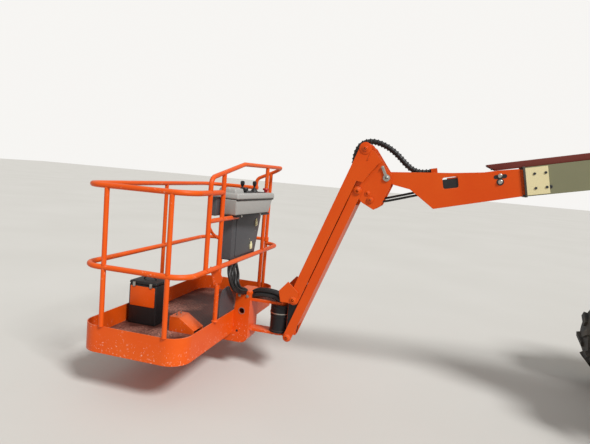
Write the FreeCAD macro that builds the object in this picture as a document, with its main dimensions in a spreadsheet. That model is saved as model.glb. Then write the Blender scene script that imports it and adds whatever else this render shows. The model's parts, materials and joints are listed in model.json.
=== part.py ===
import FreeCAD, Part
import math
import os
import re
import Sketcher

# Articulating boom lift, millimetres, +Z up, +X towards the work platform.
# The ground is z = 0. The swing axis of the turntable stands at x = swing_at, y = 0.

doc = FreeCAD.newDocument("boom_lift")
sheet = doc.addObject("Spreadsheet::Sheet", "sizes")
V = FreeCAD.Vector

# Driving dimensions: alias, value, what it is
SIZES = [
    ("swing_at", -1747, "x of the swing axis"),
    ("seat_gap", 0.3, "gap between pieces that turn or slide on each other"),
    ("wheel_base", 2360, "front axle to rear axle"),
    ("wheel_half", 1015, "y of a tyre's middle"),
    ("tyre_radius", 420, "wheel axis height, to the lugs' tips"),
    ("tyre_wide", 310, "tyre width"),
    ("shoulder_in", 34, "tyre shoulder inside the tyre's width"),
    ("shoulder_down", 40, "tyre shoulder below the tread"),
    ("lug_tall", 28, "height of a tyre lug"),
    ("lug_wide", 46, "lug width along the tread"),
    ("lug_slant", 24, "lug slant, degrees"),
    ("lug_reach", 84, "half the length that a slanted lug takes along the tread"),
    ("lug_count", 14, "lugs in each of the two rows"),
    ("rim_radius", 214, "rim barrel outside"),
    ("rim_wall", 8, "rim barrel wall"),
    ("rim_wide", 220, "rim barrel width"),
    ("hub_radius", 96, "wheel hub outside"),
    ("hub_tall", 70, "wheel hub ahead of the disc"),
    ("disc_out", 20, "wheel disc from the tyre's middle, outwards"),
    ("disc_thick", 14, "wheel disc thickness"),
    ("dish_radius", 160, "where the wheel's dish is flat again"),
    ("dish_deep", 38, "depth of that dish"),
    ("cap_radius", 62, "hub cap outside"),
    ("cap_bevel", 14, "bevel of the hub cap"),
    ("frame_tall", 240, "chassis height over the axles"),
    ("frame_belly", 120, "how far the chassis hangs lower between the axles"),
    ("seat_tall", 65, "height of the axles' seats under the chassis"),
    ("frame_half", 1450, "chassis half length"),
    ("frame_mid", 640, "half length of the low middle"),
    ("frame_end_mid", 860, "where the raised ends start"),
    ("frame_side", 300, "chassis half width over the axles"),
    ("frame_wing", 520, "half width of the middle box"),
    ("frame_wing_half", 600, "half length of the middle box"),
    ("bumper_thick", 24, "end plate thickness"),
    ("bumper_side", 380, "end plate half width"),
    ("axle_tall", 150, "axle beam section"),
    ("axle_pad", 110, "half length of the axle's seat"),
    ("kingpin_side", 800, "y of a kingpin"),
    ("kingpin_radius", 24, "kingpin radius"),
    ("clevis_thick", 30, "axle end plate thickness"),
    ("clevis_half", 66, "axle end half width"),
    ("knuckle_half", 52, "steering knuckle block half width"),
    ("spindle_radius", 40, "wheel spindle radius"),
    ("lug_eye", 22, "tie-down bore radius"),
    ("lug_round", 48, "tie-down lug outside radius"),
    ("lug_plate", 25, "tie-down lug thickness"),
    ("lug_side", 266, "y of a tie-down lug"),
    ("lug_up", 40, "tie-down lug above the chassis bottom over the axles"),
    ("bearing_radius", 430, "swing bearing outside"),
    ("bearing_bore", 330, "swing bearing inside"),
    ("bearing_tall", 55, "swing bearing height"),
    ("deck_thick", 30, "turntable deck thickness"),
    ("tail_radius", 1160, "tail swing radius"),
    ("tail_play", 4, "hood inside the tail circle"),
    ("deck_front", 760, "turntable deck front edge from the swing axis"),
    ("weight_deep", 330, "counterweight from the tail circle to its front face"),
    ("weight_slot", 180, "half width of the slot in the counterweight"),
    ("weight_slot_deep", 180, "depth of that slot"),
    ("weight_tall", 470, "counterweight height"),
    ("hood_in", 160, "hood outer face inside the tail circle"),
    ("hood_inner", 310, "hood inner edge"),
    ("hood_front", 700, "hood front face"),
    ("hood_tall", 640, "hood height over the deck"),
    ("hood_wall", 12, "hood wall"),
    ("hood_play", 10, "counterweight to the hood's rear face"),
    ("hood_round", 70, "radius of the hood's outer edges"),
    ("hood_nose", 130, "how far the hood's sloping nose runs back"),
    ("hood_brow", 260, "how far that nose runs down"),
    ("hood_room", 60, "hood to the engine and tanks inside it"),
    ("engine_back", -380, "rear end of the engine block"),
    ("engine_front", 330, "front end of the engine block"),
    ("engine_tall", 460, "engine block height"),
    ("engine_inner", 110, "engine block from the hood's inner edge"),
    ("engine_side", 130, "engine block from the hood's outer face"),
    ("fuel_back", -600, "rear end of the fuel tank"),
    ("fuel_long", 540, "fuel tank length"),
    ("fuel_tall", 430, "fuel tank height"),
    ("oil_long", 480, "oil tank length"),
    ("oil_tall", 380, "oil tank height"),
    ("tank_inner", 60, "tanks from the hood's inner edge"),
    ("tank_side", 160, "tanks from the hood's outer face"),
    ("panel_play", 10, "ground controls from the hood's front face"),
    ("panel_in", 2, "ground controls behind the deck's front edge"),
    ("panel_from", -760, "outer side of the ground controls"),
    ("panel_wide", 340, "width of the ground controls"),
    ("panel_tall", 420, "height of the ground controls"),
    ("cheek_half", 110, "half length of the deck's riser cheek plates"),
    ("cheek_over", 45, "those plates above the link's pin"),
    ("pin_past", 6, "how far a pin reaches past the plate it holds"),
    ("bulkhead_back", 40, "compartment inner wall behind the hood's front face"),
    ("bulkhead_in", 20, "compartment inner wall from the hood's inner edge"),
    ("bulkhead_low", 90, "compartment inner wall below the hood's top"),
    ("vent_long", 330, "length of the hood's vent slots"),
    ("vent_tall", 16, "height of a vent slot"),
    ("vent_step", 40, "vent slot to vent slot"),
    ("vent_count", 5, "vent slots in a hood"),
    ("vent_back", -300, "rear end of the vent slots"),
    ("vent_up", 300, "lowest vent slot above the deck"),
    ("weight_crown", 60, "bevel of the counterweight's top edge"),
    ("bulkhead_wall", 6, "compartment inner wall"),
    ("cheek_gap", 10, "riser link to the cheek plate"),
    ("cheek_thick", 20, "riser cheek plate thickness"),
    ("riser_in", 360, "riser pivots ahead of the tail circle"),
    ("riser_up", 224.7, "lowest riser pin above the deck"),
    ("riser_long", 2100, "riser arm pin to pin"),
    ("link_rise", 160, "riser link above its arm"),
    ("stage_rise", 385, "upper riser arm above the lower one"),
    ("riser_deep", 150, "riser arm depth"),
    ("riser_side", 80, "riser arm half width"),
    ("riser_wall", 8, "riser arm wall"),
    ("link_deep", 60, "riser link depth"),
    ("link_gap", 15, "riser arm to its link"),
    ("link_thick", 20, "riser link thickness"),
    ("riser_pin", 22, "riser pin radius"),
    ("web_thick", 14, "cross plate thickness"),
    ("boom_behind", 250, "main boom pivot behind the riser pivots"),
    ("pivot_up", 836, "main boom pivot above the upper riser arm's rear pin"),
    ("boom_slope", 11.5, "main boom slope at rest, degrees"),
    ("boom_deep", 190, "outer boom section depth"),
    ("boom_side", 80, "outer boom half width"),
    ("boom_wall", 7, "outer boom wall"),
    ("boom_mouth", 3470, "pivot to the outer boom's mouth"),
    ("boom_heel", 105, "outer boom behind its pivot"),
    ("boom_pin", 30, "main pin radius"),
    ("pad_room", 5.5, "gap over and under the inner boom"),
    ("pad_side_room", 9, "gap beside the inner boom"),
    ("fly_wall", 6, "inner boom wall"),
    ("fly_start", 900, "inner boom's hidden end from the pivot"),
    ("fly_out", 480, "inner boom's front end ahead of the mouth"),
    ("nose_out", 882, "nose pin ahead of the mouth, along the boom"),
    ("nose_up", 130, "nose pin above the boom's middle line"),
    ("nose_thick", 10, "nose cheek thickness"),
    ("nose_pin", 20, "nose pin radius"),
    ("tray_back", 1120, "hose tray behind the mouth"),
    ("tray_ahead", 220, "hose tray ahead of the mouth"),
    ("tray_half", 45, "hose tray half width"),
    ("tray_up", 132, "hose tray above the boom's middle line"),
    ("tray_thick", 8, "hose tray thickness"),
    ("tray_foot", 40, "length of the tray's feet"),
    ("hose_radius", 17, "sleeved hose bundle over the jib's pivot"),
    ("hose_side", 136, "that bundle's distance from the middle plane"),
    ("hose_clamp", 44, "size of its clamp"),
    ("pad_long", 140, "wear pad plate length"),
    ("pad_thick", 8, "wear pad plate thickness"),
    ("nose_gap", 3, "nose cheek to jib bracket cheek"),
    ("bracket_thick", 10, "jib bracket cheek thickness"),
    ("jib_gap", 3, "jib bracket cheek to the lower jib arm's wall"),
    ("arm_gap", 5, "lower jib arm's wall to the upper one's"),
    ("jib_wall", 8, "jib arm wall"),
    ("jib_long", 1226, "jib arm pin to pin"),
    ("jib_slope", 69.6, "jib below level at rest, degrees"),
    ("jib_pin", 18, "jib pin radius"),
    ("jib_up_x", 163, "nose pin to the upper jib pin, forwards"),
    ("jib_up_z", 192, "nose pin to the upper jib pin, up"),
    ("jib_link_x", 30, "upper jib pin to the lower one, forwards"),
    ("jib_link_z", 300, "upper jib pin to the lower one, down"),
    ("upper_deep", 80, "upper jib arm depth"),
    ("lower_deep", 64, "lower jib arm depth"),
    ("rotator_ahead", 122, "jib's end pin to the rotator axis"),
    ("rotator_radius", 78, "rotator housing radius"),
    ("rotator_up", 45, "rotator housing bottom above the toe board's lower edge"),
    ("rotator_tall", 215, "rotator housing height"),
    ("yoke_thick", 20, "platform yoke plate thickness"),
    ("yoke_half", 54, "platform yoke half width"),
    ("column_from", 225, "support column from the rotator axis"),
    ("column_half", 92, "support column half width"),
    ("column_wall", 10, "support column wall"),
    ("column_dip", 72, "support column's foot under the toe board's lower edge"),
    ("column_under", 270, "how far that foot runs under the platform"),
    ("column_over", 60, "support column over the upper yoke plate"),
    ("column_bend", 62, "radius where the column turns into its foot"),
    ("column_round", 24, "radius of the column's upper corners"),
    ("column_eye", 22, "round hole through the column"),
    ("beam_wide", 50, "width of the floor's cross beams"),
    ("gusset_thick", 6, "gusset plate thickness"),
    ("basket_ahead", 350, "rotator axis to the rear rail"),
    ("basket_deep", 760, "platform depth, rail to rail"),
    ("basket_long", 1830, "platform length, rail to rail"),
    ("basket_drop", 333.6, "toe board's lower edge below the upper jib end pin"),
    ("toe_tall", 180, "toe board height"),
    ("toe_thick", 6, "toe board thickness"),
    ("basket_round", 135, "corner radius of rails and toe board"),
    ("floor_up", 50, "floor's top above the toe board's lower edge"),
    ("floor_thick", 8, "floor thickness"),
    ("rail_radius", 18, "rail tube radius"),
    ("rail_mid", 571, "middle rail above the toe board's lower edge"),
    ("rail_top", 1096, "top rail above the toe board's lower edge"),
    ("post_radius", 16, "post radius"),
    ("post_near", 445, "y of the near post on the jib side"),
    ("post_far", -445, "y of the far post on the jib side"),
    ("post_front", -105, "y of the front post"),
    ("post_rear_at", 125, "rear posts of both ends from the rear rail"),
    ("post_fore_at", 175, "front posts of both ends from the front rail"),
    ("guard_high", 1303, "guard hoop over the console, above the toe board's lower edge"),
    ("guard_near_high", 1195, "guard hoop at its near leg, from the same edge"),
    ("guard_far_high", 1181, "guard hoop at its far leg, from the same edge"),
    ("guard_leg", 647, "y of the near leg"),
    ("guard_flat", 86, "y where the hoop's level stretch starts"),
    ("guard_reach", 267, "far leg from the rear rail"),
    ("guard_bend", 60, "bend radius at the hoop's legs"),
    ("shelf_up", 910, "short rail under the console, from the same edge"),
    ("shelf_end", 160, "y of that rail's free end"),
    ("bar_sleeve", 24, "entry bar's sleeve radius"),
    ("bar_tall", 40, "height of the entry bar's sleeves"),
    ("console_at", 8, "console middle, towards the near end"),
    ("console_long", 610, "console length"),
    ("console_deep", 240, "console depth"),
    ("console_tall", 165, "console height"),
    ("console_turn", -7, "console turned from square, degrees"),
    ("locker_long", 630, "locker under the console, length"),
    ("locker_deep", 150, "locker depth"),
    ("locker_at", -115, "locker middle, towards the near end"),
    ("pedal_x", 510, "foot switch from the rotator axis"),
    ("pedal_y", 290, "foot switch, towards the near end"),
    ("pedal_long", 200, "foot switch length"),
    ("pedal_wide", 150, "foot switch width"),
    ("pedal_tall", 110, "foot switch height"),
    ("kit_x", 840, "tool box from the rotator axis"),
    ("kit_y", 230, "tool box, towards the near end"),
    ("kit_long", 230, "tool box length"),
    ("kit_deep", 190, "tool box depth"),
    ("kit_tall", 330, "tool box height"),
    ("lift_lug", 1200, "lift cylinder lug along the boom"),
    ("lift_drop", 150, "lift cylinder pin below the boom's middle line"),
    ("lift_base", 305, "lift cylinder's lower pin above the riser pin"),
    ("ram_back", 1050, "riser cylinder's rear lug from the rear pin"),
    ("ram_low", 125, "riser cylinder's rear pin above the lower arm"),
    ("ram_front", 60, "riser cylinder's front pin behind the knuckle's pins"),
    ("ram_high", 155, "riser cylinder's front pin above the knuckle's lower pin"),
    ("ram_bore", 40, "riser cylinder barrel radius"),
    ("ram_rod", 24, "riser cylinder rod radius"),
    ("lift_bore", 50, "boom cylinder barrel radius"),
    ("lift_rod", 28, "boom cylinder rod radius"),
    ("jib_bore", 26, "jib cylinder barrel radius"),
    ("jib_rod", 14, "jib cylinder rod radius"),
    ("jib_lug_in", 126, "jib cylinder's lug from the upper jib arm's far pin"),
    ("lug_in", 30, "inner face of the cylinders' lugs"),
    ("lug_out", 44, "outer face of the cylinders' lugs"),
    ("stub_out", 50, "outer end of the pins at the rods' eyes"),
    ("eye_half", 26, "half width of the cylinders' eyes"),
    ("eye_wall", 16, "wall of the eye at a barrel's foot"),
    ("rod_eye_wall", 9, "wall of the eye at a rod's end"),
    ("mouth_back", 40, "barrel's mouth behind the far pin's surface"),
    ("stroke_back", 36, "rod's hidden end ahead of the near pin's surface"),
    ("lift_ear_in", 34, "inner face of the boom cylinder's upper lugs"),
    ("lift_ear_thick", 18, "thickness of those lugs"),
    ("lift_eye_half", 30, "half width of the boom cylinder's eyes"),
]
TURN = {"X": FreeCAD.Rotation(V(0, 1, 0), 90), "Y": FreeCAD.Rotation(V(1, 0, 0), -90),
        "Z": FreeCAD.Rotation()}

for row, (alias, value, meaning) in enumerate(SIZES, 1):
    sheet.set(f"A{row}", meaning)
    sheet.set(f"B{row}", str(value))
    sheet.setAlias(f"B{row}", alias)
doc.recompute()
ALIASES = {alias for alias, value, meaning in SIZES}
# Places and sizes that follow from the driving ones, each written once
DERIVED = {
    "frame_end_low": "(tyre_radius+axle_tall/2+seat_tall)",
    "frame_low": "(frame_end_low-frame_belly)",
    "frame_top": "(frame_end_low+frame_tall)",
    "deck_low": "(frame_top+bearing_tall+seat_gap)",
    "deck_high": "(deck_low+deck_thick)",
    "weight_front": "(weight_deep-tail_radius)",
    "weight_slot_back": "(weight_front-weight_slot_deep)",
    "tail_inside": "(tail_radius-tail_play-hood_wall)",
    "hood_side": "(tail_radius-hood_in)",
    "riser_back": "(riser_in-tail_radius)",
    "riser_low": "(deck_high+riser_up)",
    "riser_top": "(riser_low+stage_rise)",
    "link_in": "(riser_side+link_gap)",
    "link_out": "(link_in+link_thick)",
    "cheek_in": "(link_out+cheek_gap)",
    "cheek_out": "(cheek_in+cheek_thick)",
    "boom_back": "(riser_back-boom_behind)",
    "boom_pivot": "(riser_top+pivot_up)",
    "fly_deep": "(boom_deep-2*boom_wall-2*pad_room)",
    "fly_side": "(boom_side-boom_wall-pad_side_room)",
    "fly_end": "(boom_mouth+fly_out)",
    "nose_at": "(boom_mouth+nose_out)",
    "nose_x": "(boom_back+nose_at*cos(boom_slope*1deg)+nose_up*sin(boom_slope*1deg))",
    "nose_z": "(boom_pivot-nose_at*sin(boom_slope*1deg)+nose_up*cos(boom_slope*1deg))",
    "nose_cheek_out": "(fly_side+nose_thick)",
    "bracket_in": "(nose_cheek_out+nose_gap)",
    "bracket_out": "(bracket_in+bracket_thick)",
    "jib_in": "(bracket_out+jib_gap)",
    "jib_out": "(jib_in+jib_wall)",
    "jib_up_in": "(jib_out+arm_gap)",
    "jib_up_out": "(jib_up_in+jib_wall)",
    "jib_top_x": "(nose_x+jib_up_x)",
    "jib_top_z": "(nose_z+jib_up_z)",
    "jib_low_x": "(jib_top_x+jib_link_x)",
    "jib_low_z": "(jib_top_z-jib_link_z)",
    "jib_lug": "(jib_long-jib_lug_in)",
    "end_x": "(jib_top_x+jib_long*cos(jib_slope*1deg))",
    "end_z": "(jib_top_z-jib_long*sin(jib_slope*1deg))",
    "rotator_x": "(end_x+rotator_ahead)",
    "basket_low": "(end_z-basket_drop)",
    "rotator_low": "(basket_low+rotator_up)",
    "guard_top": "(basket_low+guard_high)",
    "guard_near": "(basket_low+guard_near_high)",
    "guard_far": "(basket_low+guard_far_high)",
    "shelf_high": "(basket_low+shelf_up)",
}
NODES = []


def bound(text):
    """A formula in the words of both tables, as an expression that reads the sheet."""
    text = str(text)
    while any(word in DERIVED for word in re.findall(r"[a-z_]+", text)):
        text = re.sub(r"[a-z_]+", lambda m: DERIVED.get(m.group(0), m.group(0)), text)
    return re.sub(r"[a-z_]+", lambda m: "sizes." + m.group(0) if m.group(0) in ALIASES else m.group(0), text)


def number(text):
    """The present value of a formula."""
    return float(sheet.evalExpression(bound(text)))


def bind(thing, **formulas):
    for name, text in formulas.items():
        thing.setExpression(name, bound(text))


def at(thing, x="0", y="0", z="0"):
    for letter, text in zip("xyz", (x, y, z)):
        thing.setExpression(f"Placement.Base.{letter}", bound(text))
    return thing


def box(x, y, z):
    """A block between two bounds on each axis."""
    block = doc.addObject("Part::Box", "block")
    bind(block, Length=f"({x[1]})-({x[0]})", Width=f"({y[1]})-({y[0]})", Height=f"({z[1]})-({z[0]})")
    return at(block, x[0], y[0], z[0])


def slab(x, half, z):
    """A block centred on the machine's middle plane."""
    return box(x, (f"-({half})", half), z)


def rod(axis, radius, span, u="0", v="0"):
    """A round bar along X, Y or Z; u and v are the other two places in order."""
    bar = doc.addObject("Part::Cylinder", "bar")
    bind(bar, Radius=radius, Height=f"({span[1]})-({span[0]})")
    bar.Placement = FreeCAD.Placement(V(), TURN[axis])
    place = {"X": (span[0], u, v), "Y": (u, span[0], v), "Z": (u, v, span[0])}[axis]
    return at(bar, *place)


def outward(sign, near, far):
    """A span along Y measured away from the middle plane, for the side that sign gives."""
    return (near, far) if sign == "" else (f"-({far})", f"-({near})")


def fuse(*pieces):
    if len(pieces) == 1:
        return pieces[0]
    joined = doc.addObject("Part::MultiFuse", "joined")
    joined.Shapes = list(pieces)
    joined.Refine = True
    return joined


def cut(base, *tools):
    opened = doc.addObject("Part::Cut", "opened")
    opened.Base = base
    opened.Tool = fuse(*tools)
    opened.Refine = True
    return opened


def common(first, second):
    shared = doc.addObject("Part::MultiCommon", "shared")
    shared.Shapes = [first, second]
    return shared


def mirrored(piece):
    """The same piece on the other side of the middle plane."""
    twin = doc.addObject("Part::Mirroring", "twin")
    twin.Source = piece
    twin.Normal = V(0, 1, 0)
    return twin


def pair(piece):
    return fuse(piece, mirrored(piece))


def draw(sketch, points):
    """A closed outline of straight lines through (across, up) formulas."""
    count = len(points)
    corners = [V(number(across), number(up), 0) for across, up in points]
    for k in range(count):
        sketch.addGeometry(Part.LineSegment(corners[k], corners[(k + 1) % count]))
    for k in range(count):
        sketch.addConstraint(Sketcher.Constraint("Coincident", k, 2, (k + 1) % count, 1))
    for k, (across, up) in enumerate(points):
        for kind, text, present in (("DistanceX", across, corners[k].x), ("DistanceY", up, corners[k].y)):
            held = sketch.addConstraint(Sketcher.Constraint(kind, -1, 1, k, 1, present))
            sketch.setExpression(f"Constraints[{held}]", bound(text))


def plate(outline, y, rounds=()):
    """A flat plate from its side outline, points as (x, z) formulas, between two y places.

    rounds gives (corner number, radius) for corners that are rounded.
    """
    body = doc.addObject("PartDesign::Body", "plate")
    sketch = body.newObject("Sketcher::SketchObject", "outline")
    side_plane = [f for f in body.Origin.OriginFeatures if f.Role == "XZ_Plane"][0]
    sketch.AttachmentSupport = [(side_plane, "")]
    sketch.MapMode = "FlatFace"
    bind(sketch, **{"AttachmentOffset.Base.z": f"-({y[0]})"})
    draw(sketch, outline)
    pad = body.newObject("PartDesign::Pad", "pad")
    pad.Profile = sketch
    pad.Reversed = True
    bind(pad, Length=f"({y[1]})-({y[0]})")
    doc.recompute()
    if rounds:
        corners = [line.StartPoint for line in sketch.Geometry]
        for place, radius in rounds:
            corner = corners[place]
            base = body.Tip
            names = []
            for k, edge in enumerate(base.Shape.Edges, 1):
                ends = [vertex.Point for vertex in edge.Vertexes]
                if len(ends) == 2 and all(abs(p.x - corner.x) + abs(p.z - corner.y) < 1e-4 for p in ends):
                    names.append(f"Edge{k}")
            soft = body.newObject("PartDesign::Fillet", "soft")
            soft.Base = (base, names)
            bind(soft, Radius=radius)
            doc.recompute()
    return body


def node(label, shape, x="0", y="0", z="0", pitch=None):
    """Name a sub-part and set its place; pitch tips its front end down."""
    if pitch is not None:
        shape.Placement = FreeCAD.Placement(V(), FreeCAD.Rotation(V(0, 1, 0), 10))
        shape.setExpression("Placement.Rotation.Angle", bound(f"({pitch})*1deg"))
    elif shape.TypeId in ("Part::Box", "Part::Cylinder"):
        shape = fuse_single(shape)
    at(shape, x, y, z)
    shape.Label = label
    NODES.append(shape)
    return shape


def fuse_single(shape):
    held = doc.addObject("Part::Compound", "held")
    held.Links = [shape]
    return held


# Formulas that several pieces share
AXLE_LOW = "tyre_radius-axle_tall/2"
AXLE_HIGH = "tyre_radius+axle_tall/2"
PIN_HOLE = "riser_pin+seat_gap"
SLOPE = "boom_slope*1deg"
DROP = "jib_slope*1deg"
SWING = "swing_at"


def chassis():
    side = [("-frame_half", "frame_end_low"), ("-frame_end_mid", "frame_end_low"),
            ("-frame_mid", "frame_low"), ("frame_mid", "frame_low"), ("frame_end_mid", "frame_end_low"),
            ("frame_half", "frame_end_low"), ("frame_half", "frame_top"), ("-frame_half", "frame_top")]
    spine = plate(side, ("-frame_side", "frame_side"))
    wings = slab(("-frame_wing_half", "frame_wing_half"), "frame_wing", ("frame_low+40", "frame_top"))
    ends = [slab((near, far), "bumper_side", ("frame_end_low-40", "frame_top"))
            for near, far in (("frame_half", "frame_half+bumper_thick"),
                              ("-frame_half-bumper_thick", "-frame_half"))]
    node("chassis_frame", fuse(spine, wings, *ends), SWING)
    ring = cut(rod("Z", "bearing_radius", ("frame_top", "frame_top+bearing_tall")),
               rod("Z", "bearing_bore", ("frame_top", "frame_top+bearing_tall")))
    node("swing_bearing", ring, SWING)
    lugs = []
    flat = ("frame_end_low+lug_up", "frame_end_low+lug_up+lug_plate")
    for end in ("", "-"):
        for hand in ("", "-"):
            along = f"{hand}lug_side"
            face = f"{end}(frame_half+bumper_thick)"
            tip = f"{end}(frame_half+bumper_thick+lug_round)"
            reach = (face, tip) if end == "" else (tip, face)
            ear = fuse(box(reach, (f"{along}-lug_round", f"{along}+lug_round"), flat),
                       rod("Z", "lug_round", flat, tip, along))
            lugs.append(cut(ear, rod("Z", "lug_eye", flat, tip, along)))
    node("tie_down_lugs", fuse(*lugs), SWING)


def axles():
    inner_end = "kingpin_side-knuckle_half-28"
    seat = slab(("-axle_pad", "axle_pad"), "axle_pad+60", (AXLE_HIGH, "frame_end_low"))
    beam = slab(("-axle_tall/2", "axle_tall/2"), inner_end, (AXLE_LOW, AXLE_HIGH))
    jaw = (inner_end, "kingpin_side+clevis_half")
    top_jaw = box(("-clevis_half", "clevis_half"), jaw, (f"{AXLE_HIGH}-clevis_thick", AXLE_HIGH))
    low_jaw = box(("-clevis_half", "clevis_half"), jaw, (AXLE_LOW, f"{AXLE_LOW}+clevis_thick"))
    pin = rod("Z", "kingpin_radius", (AXLE_LOW, AXLE_HIGH), "0", "kingpin_side")
    jaws = fuse(top_jaw, low_jaw, pin)
    node("front_axle", fuse(seat, beam, jaws, mirrored(jaws)), f"{SWING}+wheel_base/2")
    rear_seat = slab(("-axle_pad", "axle_pad"), "axle_pad+60", (AXLE_HIGH, "frame_end_low"))
    rear_beam = slab(("-axle_tall/2", "axle_tall/2"), "wheel_half-rim_wide/2-20", (AXLE_LOW, AXLE_HIGH))
    reach = ("wheel_half-rim_wide/2-20", "wheel_half+disc_out-seat_gap")
    stub = rod("Y", "spindle_radius", reach, "0", "tyre_radius")
    node("rear_axle", fuse(rear_seat, rear_beam, stub, mirrored(stub)), f"{SWING}-wheel_base/2")
    for hand, sign in (("left", ""), ("right", "-")):
        low = f"{AXLE_LOW}+clevis_thick+seat_gap"
        high = f"{AXLE_HIGH}-clevis_thick-seat_gap"
        block = cut(box(("-knuckle_half", "knuckle_half"), ("-knuckle_half", "knuckle_half"), (low, high)),
                    rod("Z", "kingpin_radius+seat_gap", (low, high)))
        reach = outward(sign, "knuckle_half-4", "wheel_half-kingpin_side+disc_out-seat_gap")
        spindle = rod("Y", "spindle_radius", reach, "0", "tyre_radius")
        node(f"steering_knuckle_{hand}", fuse(block, spindle), f"{SWING}+wheel_base/2",
             f"{sign}kingpin_side")


def wheel_section(points):
    """A solid of revolution about Y from (radius, y) formulas."""
    body = doc.addObject("PartDesign::Body", "wheel_body")
    sketch = body.newObject("Sketcher::SketchObject", "section")
    plan = [f for f in body.Origin.OriginFeatures if f.Role == "XY_Plane"][0]
    sketch.AttachmentSupport = [(plan, "")]
    sketch.MapMode = "FlatFace"
    draw(sketch, points)
    doc.recompute()
    turned = body.newObject("PartDesign::Revolution", "turned")
    turned.Profile = sketch
    turned.ReferenceAxis = (sketch, ["V_Axis"])
    turned.Angle = 360
    doc.recompute()
    return body


def wheels():
    half = "tyre_wide/2"
    tread = "tyre_radius-lug_tall"
    wall_high = f"{tread}-shoulder_down"
    wall_low = f"(rim_radius+{wall_high})/2"
    for end, end_x in (("front", "+wheel_base/2"), ("rear", "-wheel_base/2")):
        for hand, sign in (("left", ""), ("right", "-")):
            carcass = wheel_section([("rim_radius", "-rim_wide/2"), ("rim_radius", "rim_wide/2"),
                                     (wall_low, half), (wall_high, half), (tread, f"{half}-shoulder_in"),
                                     (tread, f"-({half}-shoulder_in)"), (wall_high, f"-({half})"),
                                     (wall_low, f"-({half})")])
            tyre = add_lugs(carcass)
            node(f"tyre_{end}_{hand}", tyre, f"{SWING}{end_x}", f"{sign}wheel_half", "tyre_radius")
            barrel = [("rim_radius-rim_wall", "-rim_wide/2"), ("rim_radius", "-rim_wide/2"),
                      ("rim_radius", "rim_wide/2"), ("rim_radius-rim_wall", "rim_wide/2")]
            face = "disc_out+disc_thick"
            top = f"{face}+hub_tall"
            dish = [("0", "disc_out"), ("hub_radius", "disc_out"), ("dish_radius", "disc_out+dish_deep"),
                    ("rim_radius-rim_wall/2", "disc_out+dish_deep"),
                    ("rim_radius-rim_wall/2", f"{face}+dish_deep"),
                    ("dish_radius-rim_wall", f"{face}+dish_deep"), ("hub_radius-rim_wall", face),
                    ("cap_radius", face), ("cap_radius", f"{top}-cap_bevel"),
                    ("cap_radius-cap_bevel", top), ("0", top)]
            disc = wheel_section([(out, f"{sign}({along})") for out, along in dish])
            node(f"wheel_{end}_{hand}", fuse(wheel_section(barrel), disc),
                 f"{SWING}{end_x}", f"{sign}wheel_half", "tyre_radius")


def add_lugs(body):
    """Two rows of slanted lugs round the tread, one row half a step behind the other."""
    plan = [f for f in body.Origin.OriginFeatures if f.Role == "XY_Plane"][0]
    spin_axis = [f for f in body.Origin.OriginFeatures if f.Role == "Y_Axis"][0]
    for side in (1, -1):
        sketch = body.newObject("Sketcher::SketchObject", "lug_outline")
        sketch.AttachmentSupport = [(plan, "")]
        sketch.MapMode = "FlatFace"
        tilt = FreeCAD.Rotation(V(1, 0, 0), float(sheet.get("lug_slant")) * side)
        phase = FreeCAD.Rotation(V(0, 1, 0), 0 if side > 0 else 180.0 / int(sheet.get("lug_count")))
        sketch.AttachmentOffset = FreeCAD.Placement(V(), phase.multiply(tilt))
        low = "tyre_radius-lug_tall-14"
        high = "sqrt(tyre_radius*tyre_radius-lug_reach*lug_reach)"
        near, far = ("6", "tyre_wide/2-8") if side > 0 else ("-(tyre_wide/2-8)", "-6")
        inner, outer = (low, f"{low}-32") if side > 0 else (f"{low}-32", low)
        draw(sketch, [(inner, near), (high, near), (high, far), (outer, far)])
        doc.recompute()
        pad = body.newObject("PartDesign::Pad", "lug")
        pad.Profile = sketch
        pad.SideType = "Symmetric"
        bind(pad, Length="lug_wide")
        doc.recompute()
        ring = body.newObject("PartDesign::PolarPattern", "lug_ring")
        ring.Originals = [pad]
        ring.Axis = (spin_axis, [""])
        ring.Angle = 360
        bind(ring, Occurrences="lug_count")
        body.Tip = ring
        doc.recompute()
    return body


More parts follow.
